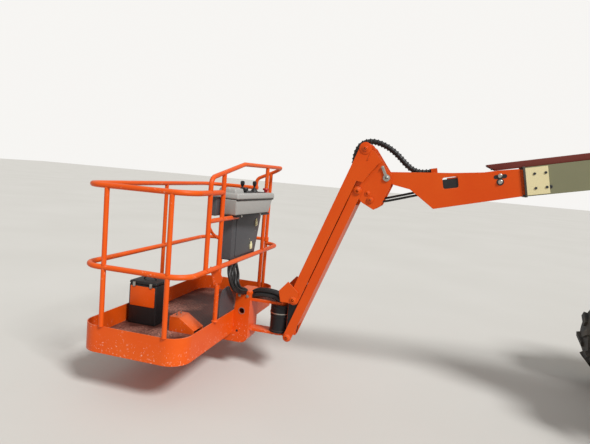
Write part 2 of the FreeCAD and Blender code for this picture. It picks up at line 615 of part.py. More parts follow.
def turntable():
    disc = ("tail_radius", ("deck_low", "deck_high"))
    deck = common(rod("Z", *disc),
                  slab(("-tail_radius", "deck_front"), "hood_side", ("deck_low", "deck_high")))
    foot = ("deck_high", "riser_low+link_rise+cheek_over")
    cheeks = pair(box(("riser_back-cheek_half", "riser_back+cheek_half"), ("cheek_in", "cheek_out"), foot))
    long_pin = rod("Y", "riser_pin", ("-(cheek_out)", "cheek_out"), "riser_back", "riser_low")
    short_pins = pair(rod("Y", "riser_pin", ("link_in-pin_past", "cheek_out"),
                          "riser_back", "riser_low+link_rise"))
    walls = pair(box(("weight_front", "hood_front-bulkhead_back"),
                     ("hood_inner-bulkhead_in", "hood_inner-bulkhead_in+bulkhead_wall"),
                     ("deck_high", "deck_high+hood_tall-bulkhead_low")))
    node("turntable_frame", fuse(deck, cheeks, long_pin, short_pins, walls), SWING)
    weight_top = "deck_high+weight_tall"
    crown = doc.addObject("Part::Cone", "crown")
    bind(crown, Radius1="tail_radius", Radius2="tail_radius-weight_crown", Height="weight_crown")
    at(crown, z=f"{weight_top}-weight_crown")
    drum = rod("Z", "tail_radius", ("deck_high", f"{weight_top}-weight_crown"))
    block = common(fuse(drum, crown),
                   slab(("-tail_radius", "weight_front"), "tail_radius", ("deck_high", weight_top)))
    node("counterweight", cut(block, slab(("weight_slot_back", "weight_front"), "weight_slot",
                                          ("deck_high", weight_top))), SWING)
    hood("left")
    hood("right")
    inside = rod("Z", "tail_inside-hood_room", ("deck_high", "deck_high+hood_tall"))
    engine = box(("engine_back", "engine_front"), ("hood_inner+engine_inner", "hood_side-engine_side"),
                 ("deck_high", "deck_high+engine_tall"))
    node("engine_block", common(engine, inside), SWING)
    controls = box(("hood_front+panel_play", "deck_front-panel_in"), ("panel_from", "panel_from+panel_wide"),
                   ("deck_high", "deck_high+panel_tall"))
    node("ground_controls", controls, SWING)
    across = ("-(hood_side-tank_side)", "-(hood_inner+tank_inner)")
    fuel = box(("fuel_back", "fuel_back+fuel_long"), across, ("deck_high", "deck_high+fuel_tall"))
    oil = box(("0", "oil_long"), across, ("deck_high", "deck_high+oil_tall"))
    node("tanks", common(fuse(fuel, oil), inside), SWING)


def hood_form(inset, inner, low):
    """The space that a hood takes up, or the space under it when inset is the hood's wall."""
    top = f"(deck_high+hood_tall-{inset})"
    back, front = f"(weight_front+hood_play+{inset})", f"(hood_front-{inset})"
    side = f"(hood_side-{inset})"
    bend = f"(hood_round-{inset})"
    profile = plate([(back, low), (front, low), (front, f"{top}-hood_brow"), (f"{front}-hood_nose", top),
                     (back, top)], (inner, side), ((2, bend), (3, bend), (4, bend)))
    span = (back, front)
    edge = fuse(box(span, (inner, side), (low, f"{top}-{bend}")),
                box(span, (inner, f"{side}-{bend}"), (low, top)),
                rod("X", bend, span, f"{side}-{bend}", f"{top}-{bend}"))
    tail = rod("Z", f"tail_radius-tail_play-{inset}", (low, top))
    return common(common(profile, edge), tail)


def hood(hand):
    """A hood is a thin shell, open below and towards the boom, with vent slots in its side."""
    vents = []
    for k in range(int(sheet.get("vent_count"))):
        low = f"deck_high+vent_up+{k}*vent_step"
        vents.append(box(("vent_back", "vent_back+vent_long"),
                         ("hood_side-2*hood_wall", "hood_side+hood_wall"), (low, f"{low}+vent_tall")))
    shell = cut(hood_form("0", "hood_inner", "deck_high+seat_gap"),
                hood_form("hood_wall", "hood_inner-hood_wall", "deck_high"), *vents)
    node(f"hood_{hand}", shell if hand == "left" else mirrored(shell), SWING)


def arm(length, deep, half, wall):
    """A box tube with round ends, its pin holes at x = 0 and x = length."""
    shell = fuse(slab(("0", length), half, (f"-{deep}/2", f"{deep}/2")),
                 rod("Y", f"{deep}/2", (f"-({half})", half)),
                 rod("Y", f"{deep}/2", (f"-({half})", half), length))
    inside = (f"-{deep}/2+{wall}", f"{deep}/2-{wall}")
    hollow = slab((f"{deep}/2+40", f"{length}-{deep}/2-40"), f"{half}-{wall}", inside)
    holes = [rod("Y", PIN_HOLE, (f"-({half})", half), place) for place in ("0", length)]
    return cut(shell, hollow, *holes)


def link_bars(length):
    """A pair of flat bars with round ends, one each side."""
    shell = fuse(box(("0", length), ("link_in", "link_out"), ("-link_deep/2", "link_deep/2")),
                 rod("Y", "link_deep/2", ("link_in", "link_out")),
                 rod("Y", "link_deep/2", ("link_in", "link_out"), length))
    return pair(cut(shell, *[rod("Y", PIN_HOLE, ("link_in", "link_out"), place) for place in ("0", length)]))


def riser():
    front = f"{SWING}+riser_back+riser_long"
    rear = f"{SWING}+riser_back"
    ears = [pair(box(("ram_back-40", "ram_back+40"), ("lug_in", "lug_out"), ("riser_deep/2", "ram_low+30"))),
            rod("Y", "riser_pin", ("-lug_out", "lug_out"), "ram_back", "ram_low")]
    lower = arm("riser_long", "riser_deep", "riser_side", "riser_wall")
    node("riser_lower_arm", fuse(lower, *ears), rear, "0", "riser_low")
    node("riser_lower_links", link_bars("riser_long"), rear, "0", "riser_low+link_rise")
    upper = arm("riser_long", "riser_deep", "riser_side", "riser_wall")
    node("riser_upper_arm", upper, rear, "0", "riser_top")
    node("riser_upper_links", link_bars("riser_long"), rear, "0", "riser_top+link_rise")
    back = "riser_deep/2+38"
    cheek = pair(box(("-75", back), ("cheek_in", "cheek_out"), ("-riser_deep/2", "stage_rise+link_rise+50")))
    web = slab((f"{back}-web_thick", back), "cheek_out", ("-riser_deep/2", "stage_rise+link_rise+50"))
    pins = [rod("Y", "riser_pin", ("-(cheek_out)", "cheek_out"), "0", up) for up in ("0", "stage_rise")]
    stubs = [pair(rod("Y", "riser_pin", ("link_in-pin_past", "cheek_out"), "0", up))
             for up in ("link_rise", "stage_rise+link_rise")]
    ears = [pair(box(("-ram_front-34", back), ("lug_in", "lug_out"), ("ram_high-34", "ram_high+34"))),
            pair(rod("Y", "riser_pin", ("lug_in", "stub_out"), "-ram_front", "ram_high"))]
    node("riser_knuckle", fuse(cheek, web, *pins, *stubs, *ears), front, "0", "riser_low")
    # The upright, from the upper riser arm's rear pin to the main boom's pivot
    over = "(boom_back-riser_back)"
    high = "(boom_pivot-(riser_top))"
    side = [("-riser_deep/2-40", "-riser_deep/2"), ("80", "-riser_deep/2"), ("80", "370"),
            (f"{over}+105", f"{high}-20"), (f"{over}+60", f"{high}+84"), (f"{over}-60", f"{high}+84"),
            (f"{over}-105", f"{high}-20"),
            ("-riser_deep/2-40", "200")]
    cheeks = pair(plate(side, ("cheek_in", "cheek_out")))
    back = [("-riser_deep/2-40", "-riser_deep/2"), ("-riser_deep/2-26", "-riser_deep/2"),
            ("-riser_deep/2-26", "203"), (f"{over}-41", f"{high}-190"), (f"{over}-55", f"{high}-190"),
            ("-riser_deep/2-40", "200")]
    web = plate(back, ("-cheek_in", "cheek_in"))
    pin = rod("Y", "riser_pin", ("-(cheek_out)", "cheek_out"))
    stubs = pair(rod("Y", "riser_pin", ("link_in-pin_past", "cheek_out"), "0", "link_rise"))
    main_pin = rod("Y", "boom_pin", ("-(cheek_out)", "cheek_out"), over, high)
    lift_pin = rod("Y", "riser_pin", ("-(cheek_out)", "cheek_out"), "0", "lift_base")
    node("upright", fuse(cheeks, web, pin, stubs, main_pin, lift_pin), rear, "0", "riser_top")


def cylinder(name, start, end, bore, rod_radius, pin, eye_half="eye_half"):
    """A hydraulic cylinder between two pins given by (x, z) formulas: barrel and rod nodes.

    The barrel turns on its pin. The rod's eye holds its own pin and hangs free between its lugs.
    """
    run = f"({end[0]})-({start[0]})"
    fall = f"({start[1]})-({end[1]})"
    long = f"sqrt(({run})*({run})+({fall})*({fall}))"
    pitch = f"atan2({fall};{run})/1deg"
    mouth = f"{long}-{pin}-mouth_back"
    across = (f"-{eye_half}", eye_half)
    eye = rod("Y", f"{pin}+eye_wall", across)
    neck = slab(("0", f"{pin}+2*eye_wall"), eye_half, (f"-{pin}", pin))
    barrel = cut(fuse(rod("X", bore, (f"{pin}+1.5*eye_wall", mouth)), eye, neck),
                 rod("X", f"{rod_radius}+seat_gap", (f"{pin}+stroke_back", mouth)),
                 rod("Y", f"{pin}+seat_gap", across))
    node(f"{name}_barrel", barrel, f"{SWING}+{start[0]}", "0", start[1], pitch)
    stem = fuse(rod("X", rod_radius, (f"{pin}+stroke_back+2", f"{long}-{pin}")),
                rod("Y", f"{pin}+rod_eye_wall", across, long))
    node(f"{name}_rod", stem, f"{SWING}+{start[0]}", "0", start[1], pitch)


def booms():
    rear = f"{SWING}+boom_back"
    half_deep = "boom_deep/2"
    ear = [("lift_lug-70", f"-{half_deep}"), ("lift_lug-36", "-lift_drop-34"),
           ("lift_lug+36", "-lift_drop-34"),
           ("lift_lug+90", f"-{half_deep}")]
    ear_out = "lift_ear_in+lift_ear_thick"
    shell = fuse(slab(("-boom_heel", "boom_mouth"), "boom_side", (f"-{half_deep}", half_deep)),
                 rod("Y", "75", ("-(cheek_in-2)", "cheek_in-2")),
                 pair(plate(ear, ("lift_ear_in", ear_out), ((1, "26"), (2, "26")))),
                 pair(rod("Y", "riser_pin", ("lift_ear_in", f"{ear_out}+6"), "lift_lug", "-lift_drop")))
    hollow = slab(("130", "boom_mouth"), "boom_side-boom_wall",
                  (f"-{half_deep}+boom_wall", f"{half_deep}-boom_wall"))
    node("main_boom", cut(shell, hollow, rod("Y", "boom_pin+seat_gap", ("-cheek_in", "cheek_in"))),
         rear, "0", "boom_pivot", "boom_slope")
    pads = []
    pad_span = ("boom_mouth-pad_long", "boom_mouth-4")
    for up in (1, -1):
        low, high = ("fly_deep/2+seat_gap", "boom_deep/2-boom_wall")
        span = (low, high) if up > 0 else (f"-({high})", f"-({low})")
        pads.append(slab(pad_span, "fly_side-10", span))
    for side in (1, -1):
        low, high = ("fly_side+seat_gap", "boom_side-boom_wall")
        span = (low, high) if side > 0 else (f"-({high})", f"-({low})")
        pads.append(box(pad_span, span, ("-fly_deep/2+20", "fly_deep/2-20")))
    node("wear_pads", fuse(*pads), rear, "0", "boom_pivot", "boom_slope")
    cheek_plates = [pair(box(("boom_mouth-pad_long", "boom_mouth+6"), ("boom_side", "boom_side+pad_thick"),
                             ("-boom_deep/2+6", "boom_deep/2-6")))]
    node("pad_plates", fuse(*cheek_plates), rear, "0", "boom_pivot", "boom_slope")
    hollow = slab(("fly_start", "fly_end"), "fly_side-fly_wall",
                  ("-fly_deep/2+fly_wall", "fly_deep/2-fly_wall"))
    tube = cut(slab(("fly_start", "fly_end"), "fly_side", ("-fly_deep/2", "fly_deep/2")), hollow)
    node("fly_boom", tube, rear, "0", "boom_pivot", "boom_slope")
    tray = slab(("boom_mouth-tray_back", "boom_mouth+tray_ahead"), "tray_half",
                ("tray_up", "tray_up+tray_thick"))
    stands = [slab((f"boom_mouth-{back}", f"boom_mouth-{back}+tray_foot"), "tray_half-tray_thick",
                   (half_deep, "tray_up")) for back in ("tray_back", "tray_back/2", "tray_foot-tray_thick")]
    node("hose_tray", fuse(tray, *stands), rear, "0", "boom_pivot", "boom_slope")
    # Nose cheek outline, from the back end of the inner boom's sides to the nose pin
    nose = [("nose_at-860", "-92"), ("nose_at-858", "88"), ("nose_at-720", "94"), ("nose_at-640", "92"),
            ("nose_at-440", "112"), ("nose_at-30", "nose_up+38"), ("nose_at+26", "nose_up+24"),
            ("nose_at+26", "nose_up-26"), ("nose_at-150", "nose_up-98"), ("nose_at-290", "-118")]
    window = box(("nose_at-470", "nose_at-370"), ("fly_side", "nose_cheek_out"), ("10", "88"))
    wall = ("fly_side", "nose_cheek_out")
    cheek = cut(fuse(plate(nose, wall), rod("Y", "38", wall, "nose_at", "nose_up")), window,
                rod("Y", "nose_pin+seat_gap", wall, "nose_at", "nose_up"))
    ties = [slab(("nose_at-380", "nose_at-300"), "fly_side", ("-112", "-100"))]
    # The hose leaves a clamp on the far cheek and goes over the jib's pivot; places from the nose pin
    route = [(-300, 10), (-235, 10), (-175, 36), (-128, 88), (-88, 148), (-35, 211), (36, 264), (104, 290),
             (168, 285), (214, 243), (241, 180), (252, 113)]
    clamp = box((f"nose_at+({route[0][0]})-hose_clamp", f"nose_at+({route[0][0]})-seat_gap"),
                ("-hose_side-hose_clamp/2", "-nose_cheek_out"),
                (f"nose_up+{route[0][1]}-hose_clamp/2", f"nose_up+{route[0][1]}+hose_clamp/2"))
    node("boom_nose", fuse(pair(cheek), *ties, clamp), rear, "0", "boom_pivot", "boom_slope")
    points = [(f"nose_at+({along})", "-hose_side", f"nose_up+{up}") for along, up in route]
    runs = [math.dist(here, there) for here, there in zip(route, route[1:])]
    bends = [""]
    for k in range(1, len(route) - 1):
        into = math.atan2(route[k][1] - route[k - 1][1], route[k][0] - route[k - 1][0])
        out = math.atan2(route[k + 1][1] - route[k][1], route[k + 1][0] - route[k][0])
        bends.append(0.45 * min(runs[k - 1], runs[k]) / math.tan(abs(out - into) / 2))
    hose = bent_tube([(*point, bend) for point, bend in zip(points, bends + [""])], "hose_radius")
    node("jib_hose", fuse_single(hose), rear, "0", "boom_pivot", "boom_slope")


def jib():
    low_x, low_z = "(jib_up_x+jib_link_x)", "(jib_up_z-jib_link_z)"
    outline = [("-34", "-54"), ("-34", "26"), ("-8", "48"), ("jib_up_x-60", "jib_up_z+10"),
               ("jib_up_x-30", "jib_up_z+27"), ("jib_up_x+24", "jib_up_z+10"), (f"{low_x}+26", f"{low_z}+6"),
               (f"{low_x}+22", f"{low_z}-24"), ("jib_up_x-6", "-188"), ("70", "-232"), ("24", "-200")]
    cheeks = pair(plate(outline, ("bracket_in", "bracket_out")))
    pins = [rod("Y", "nose_pin", ("-(bracket_out+pin_past)", "bracket_out+pin_past")),
            rod("Y", "jib_pin", ("-(jib_up_out+pin_past)", "jib_up_out+pin_past"), "jib_up_x", "jib_up_z"),
            rod("Y", "jib_pin", ("-(jib_out+pin_past)", "jib_out+pin_past"), low_x, low_z),
            rod("Y", "jib_pin", ("-(bracket_out+pin_past)", "bracket_out+pin_past"), "97", "-164")]
    node("jib_bracket", fuse(cheeks, *pins), f"{SWING}+nose_x", "0", "nose_z")
    # Both jib arms are channels that face each other; the upper one's walls pass outside the lower one's
    hole = [rod("Y", "jib_pin+seat_gap", ("-(jib_up_out)", "jib_up_out"), place)
            for place in ("0", "jib_long")]
    ear = [("-10", "-69"), ("34", "-145"), ("61", "-128"), ("160", "-98"), ("222", "-86"),
           ("230", "-upper_deep/2"), ("jib_long", "-upper_deep/2"), ("jib_long", "upper_deep/2"),
           ("0", "upper_deep/2")]
    side = fuse(plate(ear, ("jib_up_in", "jib_up_out")), rod("Y", "45", ("jib_up_in", "jib_up_out")),
                rod("Y", "upper_deep/2", ("jib_up_in", "jib_up_out"), "jib_long"),
                rod("Y", "jib_pin+14", ("bracket_out+1", "jib_up_in")),
                rod("Y", "jib_pin+12", ("bracket_in", "jib_up_in"), "jib_long"))
    web = slab(("60", "jib_long-30"), "jib_up_out", ("upper_deep/2-jib_wall", "upper_deep/2"))
    ears = [pair(box(("jib_lug-36", "jib_lug+36"), ("lug_in", "lug_out"), ("-26", "upper_deep/2-jib_wall"))),
            pair(rod("Y", "jib_pin", ("lug_in", "stub_out"), "jib_lug"))]
    upper = cut(fuse(pair(side), web, *ears), *hole)
    node("jib_upper_arm", upper, f"{SWING}+jib_top_x", "0", "jib_top_z", "jib_slope")
    bar = [("0", "-lower_deep/2"), ("jib_long", "-lower_deep/2"), ("jib_long", "lower_deep/2"),
           ("0", "lower_deep/2")]
    side = fuse(plate(bar, ("jib_in", "jib_out")), rod("Y", "lower_deep/2", ("jib_in", "jib_out")),
                rod("Y", "lower_deep/2", ("jib_in", "jib_out"), "jib_long"))
    web = slab(("100", "jib_long-120"), "jib_out", ("-lower_deep/2", "-lower_deep/2+jib_wall"))
    lower = cut(fuse(pair(side), web), *hole)
    node("jib_lower_arm", lower, f"{SWING}+jib_low_x", "0", "jib_low_z", "jib_slope")
    # Jib end bracket: inner cheeks to both end pins, outer lugs at the upper one
    inner = [("-26", "26"), ("24", "26"), ("46", "-50"), ("46", "-jib_link_z+10"),
             ("jib_link_x+20", "-jib_link_z-24"), ("jib_link_x-24", "-jib_link_z-24")]
    inner_cheeks = pair(plate(inner, ("bracket_in-17", "bracket_in-3")))
    saddle = slab(("28", "46"), "bracket_in-17", ("-260", "-84"))
    outer = [("-28", "-26"), ("-38", "60"), ("48", "132"), ("114", "56"), ("96", "-26")]
    lugs = pair(plate(outer, ("jib_up_out+3", "jib_up_out+13")))
    bridge = slab(("62", "100"), "jib_up_out+3", ("48", "62"))
    drop = slab(("86", "100"), "bracket_in-3", ("-46", "62"))
    end_pins = [pair(rod("Y", "jib_pin", ("bracket_in-17", "jib_up_out+13"))),
                rod("Y", "jib_pin", ("-(jib_out+pin_past)", "jib_out+pin_past"),
                    "jib_link_x", "-jib_link_z")]
    body = cut(fuse(inner_cheeks, saddle, lugs, bridge, drop),
               rod("Z", "rotator_radius+seat_gap", ("-jib_link_z-60", "-64"), "rotator_ahead"))
    node("jib_end_bracket", fuse(body, *end_pins), f"{SWING}+end_x", "0", "end_z")
    housing = fuse_single(rod("Z", "rotator_radius", ("rotator_low", "rotator_low+rotator_tall")))
    node("rotator", housing, f"{SWING}+rotator_x")


def round_slab(x, y, z, radius):
    """A flat block with rounded upright corners."""
    bulk = [box((f"{x[0]}+{radius}", f"{x[1]}-{radius}"), y, z),
            box(x, (f"{y[0]}+{radius}", f"{y[1]}-{radius}"), z)]
    posts = [rod("Z", radius, z, f"{x[i]}{('+', '-')[i]}{radius}", f"{y[j]}{('+', '-')[j]}{radius}")
             for i in (0, 1) for j in (0, 1)]
    return fuse(*bulk, *posts)


def bent_tube(points, radius):
    """A tube along straight runs and tangent arcs; a point is x, y, z and its bend radius."""
    path = [V(*[number(text) for text in point[:3]]) for point in points]
    edges = []
    last = path[0]
    for before, corner, after, point in zip(path, path[1:], path[2:], points[1:]):
        into = (corner - before).normalize()
        out = (after - corner).normalize()
        half = into.getAngle(out) / 2
        arc = number(point[3])
        start = corner - into * arc * math.tan(half)
        stop = corner + out * arc * math.tan(half)
        middle = corner + (out - into).normalize() * arc * (1 / math.cos(half) - 1)
        edges += [Part.makeLine(last, start), Part.Arc(start, middle, stop).toShape()]
        last = stop
    edges.append(Part.makeLine(last, path[-1]))
    ring = Part.Wire([Part.makeCircle(number(radius), path[0], path[1] - path[0])])
    tube = doc.addObject("Part::Feature", "tube")
    tube.Shape = Part.Wire(edges).makePipeShell([ring], True, False)
    return tube


def platform_rails(here, x, y, inside):
    """Top rail, middle rail, guard hoop over the console, posts and the entry bar, all of round tube."""
    top, mid = "(basket_low+rail_top)", "(basket_low+rail_mid)"
    bend = "basket_round"
    leg_x = f"({x[0]}+guard_reach)"
    entry = (f"({x[0]}+post_rear_at)", f"({x[1]}-post_fore_at)")
    top_rail = bent_tube([(x[0], "post_near", top), (x[0], y[1], top, bend), (x[1], y[1], top, bend),
                          (x[1], y[0], top, bend), (f"{leg_x}-rail_radius", y[0], top)], "rail_radius")
    mid_rail = bent_tube([(entry[1], y[0], mid), (x[1], y[0], mid, bend), (x[1], y[1], mid, bend),
                          (x[0], y[1], mid, bend), (x[0], y[0], mid, bend),
                          (f"{x[0]}+basket_round+1", y[0], mid)], "rail_radius")
    hoop = bent_tube([(x[0], "guard_leg", mid), (x[0], "guard_leg", "guard_near", "guard_bend"),
                      (x[0], "guard_flat", "guard_top", "guard_bend"), (x[0], y[0], "guard_top", bend),
                      (leg_x, y[0], "guard_far", "guard_bend"), (leg_x, y[0], top)], "post_radius")
    near_top = "guard_near+(guard_top-guard_near)*(guard_leg-post_near)/(guard_leg-guard_flat)"
    far_top = "guard_top-(guard_top-guard_far)*post_rear_at/guard_reach"
    # Posts: place along x, place along y, top
    rows = [(entry[1], y[1], top), (entry[0], y[1], top), (x[1], "post_front", top),
            (x[0], "post_near", near_top), (x[0], "post_far", "guard_top")]
    entry_rows = [(entry[1], y[0], top), (entry[0], y[0], far_top)]
    toe_top = "basket_low+toe_tall"

    def stand(group):
        feet = [rod("Z", "post_radius", ("basket_low+floor_up", toe_top), across, along)
                for across, along, up in group]
        return [rod("Z", "post_radius", (toe_top, up), across, along) for across, along, up in group], feet

    posts, feet = stand(rows)
    entry_posts, entry_feet = stand(entry_rows)
    shelf = rod("Y", "post_radius", ("shelf_end", "guard_leg"), x[0], "shelf_high")
    corner = [(f"{x[0]}+57", mid), (f"{x[0]}-5", mid), (f"{x[0]}-45", f"{mid}-70"),
              (f"{x[0]}-35", f"{mid}-104"), (f"{x[0]}+20", f"{mid}-130")]
    gusset = plate(corner, ("post_near+post_radius-gusset_thick", "post_near+post_radius"))
    standing = cut(fuse(*posts, shelf, gusset), top_rail, mid_rail, hoop)
    gate = cut(fuse(*entry_posts), top_rail, hoop)
    node("top_rail", fuse_single(top_rail), here)
    node("mid_rail", cut(mid_rail, *entry_posts), here)
    node("guard_hoop", cut(hoop, top_rail, mid_rail), here)
    node("platform_posts", fuse(standing, gate, common(fuse(*feet, *entry_feet), inside)), here)
    rest = f"{mid}+rail_radius+seat_gap"
    sleeves = [cut(rod("Z", "bar_sleeve", (rest, f"{rest}+bar_tall"), place, y[0]),
                   rod("Z", "post_radius+seat_gap", (rest, f"{rest}+bar_tall"), place, y[0]))
               for place in entry]
    reach = (f"{entry[0]}+post_radius+3", f"{entry[1]}-post_radius-3")
    bar = rod("X", "post_radius", reach, y[0], f"{rest}+bar_tall/2")
    node("entry_bar", fuse(bar, *sleeves), here)


def fittings(here, x):
    """Console, its locker, the foot switch and the tool box."""
    console_low = "shelf_high+post_radius+seat_gap"
    console = fuse_single(box(("-console_deep/2", "console_deep/2"), ("-console_long/2", "console_long/2"),
                              ("0", "console_tall")))
    console.Placement = FreeCAD.Placement(V(), FreeCAD.Rotation(V(0, 0, 1), 10))
    console.setExpression("Placement.Rotation.Angle", bound("console_turn*1deg"))
    node("console", console, f"{here}+{x[0]}+20", "console_at", console_low)
    locker_low = "basket_low+rail_mid"
    locker = box(("0", "locker_deep"), ("-locker_long/2", "locker_long/2"),
                 ("0", f"{console_low}-({locker_low})"))
    node("console_locker", locker, f"{here}+{x[0]}+rail_radius+seat_gap", "locker_at", locker_low)
    floor = "basket_low+floor_up"
    node("foot_switch", box(("0", "pedal_long"), ("0", "pedal_wide"), ("0", "pedal_tall")),
         f"{here}+pedal_x", "pedal_y", floor)
    node("tool_box", box(("0", "kit_long"), ("0", "kit_deep"), ("0", "kit_tall")),
         f"{here}+kit_x", "kit_y", floor)


def platform():
    here = f"{SWING}+rotator_x"
    x = ("basket_ahead", "(basket_ahead+basket_deep)")
    y = ("-basket_long/2", "(basket_long/2)")
    low = "basket_low"
    wall = round_slab(x, y, (low, f"{low}+toe_tall"), "basket_round")
    in_x = (f"({x[0]}+toe_thick)", f"({x[1]}-toe_thick)")
    in_y = (f"({y[0]}+toe_thick)", f"({y[1]}-toe_thick)")
    inside = round_slab(in_x, in_y, (low, f"{low}+toe_tall"), "(basket_round-toe_thick)")
    floor = round_slab(in_x, in_y, (f"{low}+floor_up-floor_thick", f"{low}+floor_up"),
                       "(basket_round-toe_thick)")
    under = (low, f"{low}+floor_up-floor_thick")
    beams = [slab((f"({place})-beam_wide/2", f"({place})+beam_wide/2"), "basket_long/2-toe_thick", under)
             for place in (f"{x[0]}+column_under-beam_wide/2", f"{x[0]}+basket_deep*2/3")]
    node("platform_floor", fuse(cut(wall, inside), floor, *beams), here)
    platform_rails(here, x, y, inside)
    fittings(here, x)
    # The yoke holds the rotator housing from below and above; its column carries the platform
    top = "rotator_low+rotator_tall"
    low_plate = ("rotator_low-seat_gap-yoke_thick", "rotator_low-seat_gap")
    top_plate = (f"{top}+seat_gap", f"{top}+seat_gap+yoke_thick")
    front = "basket_ahead"
    yoke = []
    for span in (low_plate, top_plate):
        yoke += [slab(("0", "column_from+column_wall"), "yoke_half", span), rod("Z", "yoke_half", span)]
    side = [("column_from", f"{low}-column_dip"), ("basket_ahead+column_under", f"{low}-column_dip"),
            ("basket_ahead+column_under", low), (front, low), (front, f"{low}+toe_tall"),
            (f"{front}-column_wall", f"{top_plate[1]}+column_over"),
            ("column_from", f"{top_plate[1]}+column_over")]
    shell = plate(side, ("-column_half", "column_half"),
                  ((0, "column_bend"), (5, "column_round"), (6, "column_round")))
    wall = "column_wall"
    hollow = slab((f"column_from+{wall}", f"{front}-{wall}"), f"column_half-{wall}",
                  (f"{low}+{wall}", f"{top_plate[1]}+column_over-{wall}"))
    eye = rod("Y", "column_eye", ("-column_half", "column_half"), "column_from+column_bend",
              f"{low}+toe_tall")
    node("platform_support", fuse(*yoke, cut(shell, hollow, eye)), here)


chassis()
axles()
wheels()
turntable()
riser()
booms()
jib()
platform()

LIFT_BASE = ("riser_back", "(riser_top+lift_base)")
LIFT_TOP = (f"(boom_back+lift_lug*cos({SLOPE})-lift_drop*sin({SLOPE}))",
            f"(boom_pivot-lift_lug*sin({SLOPE})-lift_drop*cos({SLOPE}))")
RAM_BASE = ("(riser_back+ram_back)", "(riser_low+ram_low)")
RAM_TOP = ("(riser_back+riser_long-ram_front)", "(riser_low+ram_high)")
JIB_LUG = (f"(jib_top_x+jib_lug*cos({DROP}))", f"(jib_top_z-jib_lug*sin({DROP}))")
cylinder("riser", RAM_BASE, RAM_TOP, "ram_bore", "ram_rod", "riser_pin")
cylinder("boom_lift", LIFT_BASE, LIFT_TOP, "lift_bore", "lift_rod", "riser_pin", "lift_eye_half")
cylinder("jib_lift", ("jib_low_x", "jib_low_z"), JIB_LUG, "jib_bore", "jib_rod", "jib_pin")

doc.recompute()
faults = [thing.Label for thing in doc.Objects if "Invalid" in thing.State or "Error" in thing.State]
faults += [sub.Label for sub in NODES if sub.Shape.isNull() or not sub.Shape.isValid()]
if faults:
    raise RuntimeError("faulty: " + ", ".join(faults))
os.makedirs("parts", exist_ok=True)
for sub in NODES:
    sub.Shape.exportStep(f"parts/{sub.Label}.step")
print(len(NODES), "sub-parts")
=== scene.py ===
import json
import math

import bmesh
import bpy
from mathutils import Matrix, Vector


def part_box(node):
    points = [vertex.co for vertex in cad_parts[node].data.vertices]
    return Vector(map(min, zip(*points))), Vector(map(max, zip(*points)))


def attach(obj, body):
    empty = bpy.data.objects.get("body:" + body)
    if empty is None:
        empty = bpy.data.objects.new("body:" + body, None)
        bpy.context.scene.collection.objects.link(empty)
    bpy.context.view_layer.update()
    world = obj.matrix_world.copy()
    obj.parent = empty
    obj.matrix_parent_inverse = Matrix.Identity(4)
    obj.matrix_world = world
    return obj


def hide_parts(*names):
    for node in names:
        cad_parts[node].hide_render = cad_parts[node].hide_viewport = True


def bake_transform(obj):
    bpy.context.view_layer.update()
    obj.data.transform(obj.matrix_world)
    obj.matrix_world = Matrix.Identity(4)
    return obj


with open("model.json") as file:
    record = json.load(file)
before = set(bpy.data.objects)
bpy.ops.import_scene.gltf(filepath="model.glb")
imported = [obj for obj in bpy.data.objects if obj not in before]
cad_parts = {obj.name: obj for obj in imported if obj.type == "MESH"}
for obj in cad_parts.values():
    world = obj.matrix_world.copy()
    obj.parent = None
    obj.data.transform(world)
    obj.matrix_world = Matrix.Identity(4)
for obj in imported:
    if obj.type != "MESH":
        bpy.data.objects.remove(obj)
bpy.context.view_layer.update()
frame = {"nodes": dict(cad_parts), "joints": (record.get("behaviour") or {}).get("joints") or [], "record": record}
scene = bpy.context.scene
scene.view_settings.view_transform = "Standard"

# Camera. Someone stands beside the boom's end with a phone and looks down at the platform a little.
# Its place is measured from the axis on which the platform turns.
rotator_low, rotator_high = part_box("rotator")
turn_x = (rotator_low.x + rotator_high.x) / 2
CAMERA_PLACE = Vector((turn_x - 1.054, 3.601, 1.578))
CAMERA_YAW, CAMERA_DOWN, CAMERA_ROLL = math.radians(-74.48), math.radians(5.74), math.radians(-4.83)
FOCAL_LENGTH, SENSOR_WIDTH = 30.24, 36.0

forward = Vector((math.cos(CAMERA_YAW) * math.cos(CAMERA_DOWN), math.sin(CAMERA_YAW) * math.cos(CAMERA_DOWN),
                  -math.sin(CAMERA_DOWN)))
level_right = Vector((math.sin(CAMERA_YAW), -math.cos(CAMERA_YAW), 0))
level_up = level_right.cross(forward)
right = level_right * math.cos(CAMERA_ROLL) - level_up * math.sin(CAMERA_ROLL)
upward = level_right * math.sin(CAMERA_ROLL) + level_up * math.cos(CAMERA_ROLL)
camera = bpy.data.objects.new("camera", bpy.data.cameras.new("camera"))
camera.data.lens = FOCAL_LENGTH
camera.data.sensor_width = SENSOR_WIDTH
camera.matrix_world = Matrix((right, upward, -forward)).transposed().to_4x4()
camera.location = CAMERA_PLACE
scene.collection.objects.link(camera)
scene.camera = camera


# Light. One wide soft lamp stands high on the turntable's side, and pale surroundings fill the shade.
LAMP_STRENGTH, LAMP_SPREAD = 3.1, math.radians(14)
SKY_STRENGTH, SHOWN_SKY = 0.50, 0.93


def add_node(tree, kind, inputs=None, **settings):
    """A node with its settings; inputs are numbers, colours or the sockets that feed it."""
    made = tree.nodes.new(kind)
    for name, value in settings.items():
        setattr(made, name, value)
    for key, value in (inputs or {}).items():
        if isinstance(value, bpy.types.NodeSocket):
            tree.links.new(value, made.inputs[key])
        else:
            made.inputs[key].default_value = value
    return made


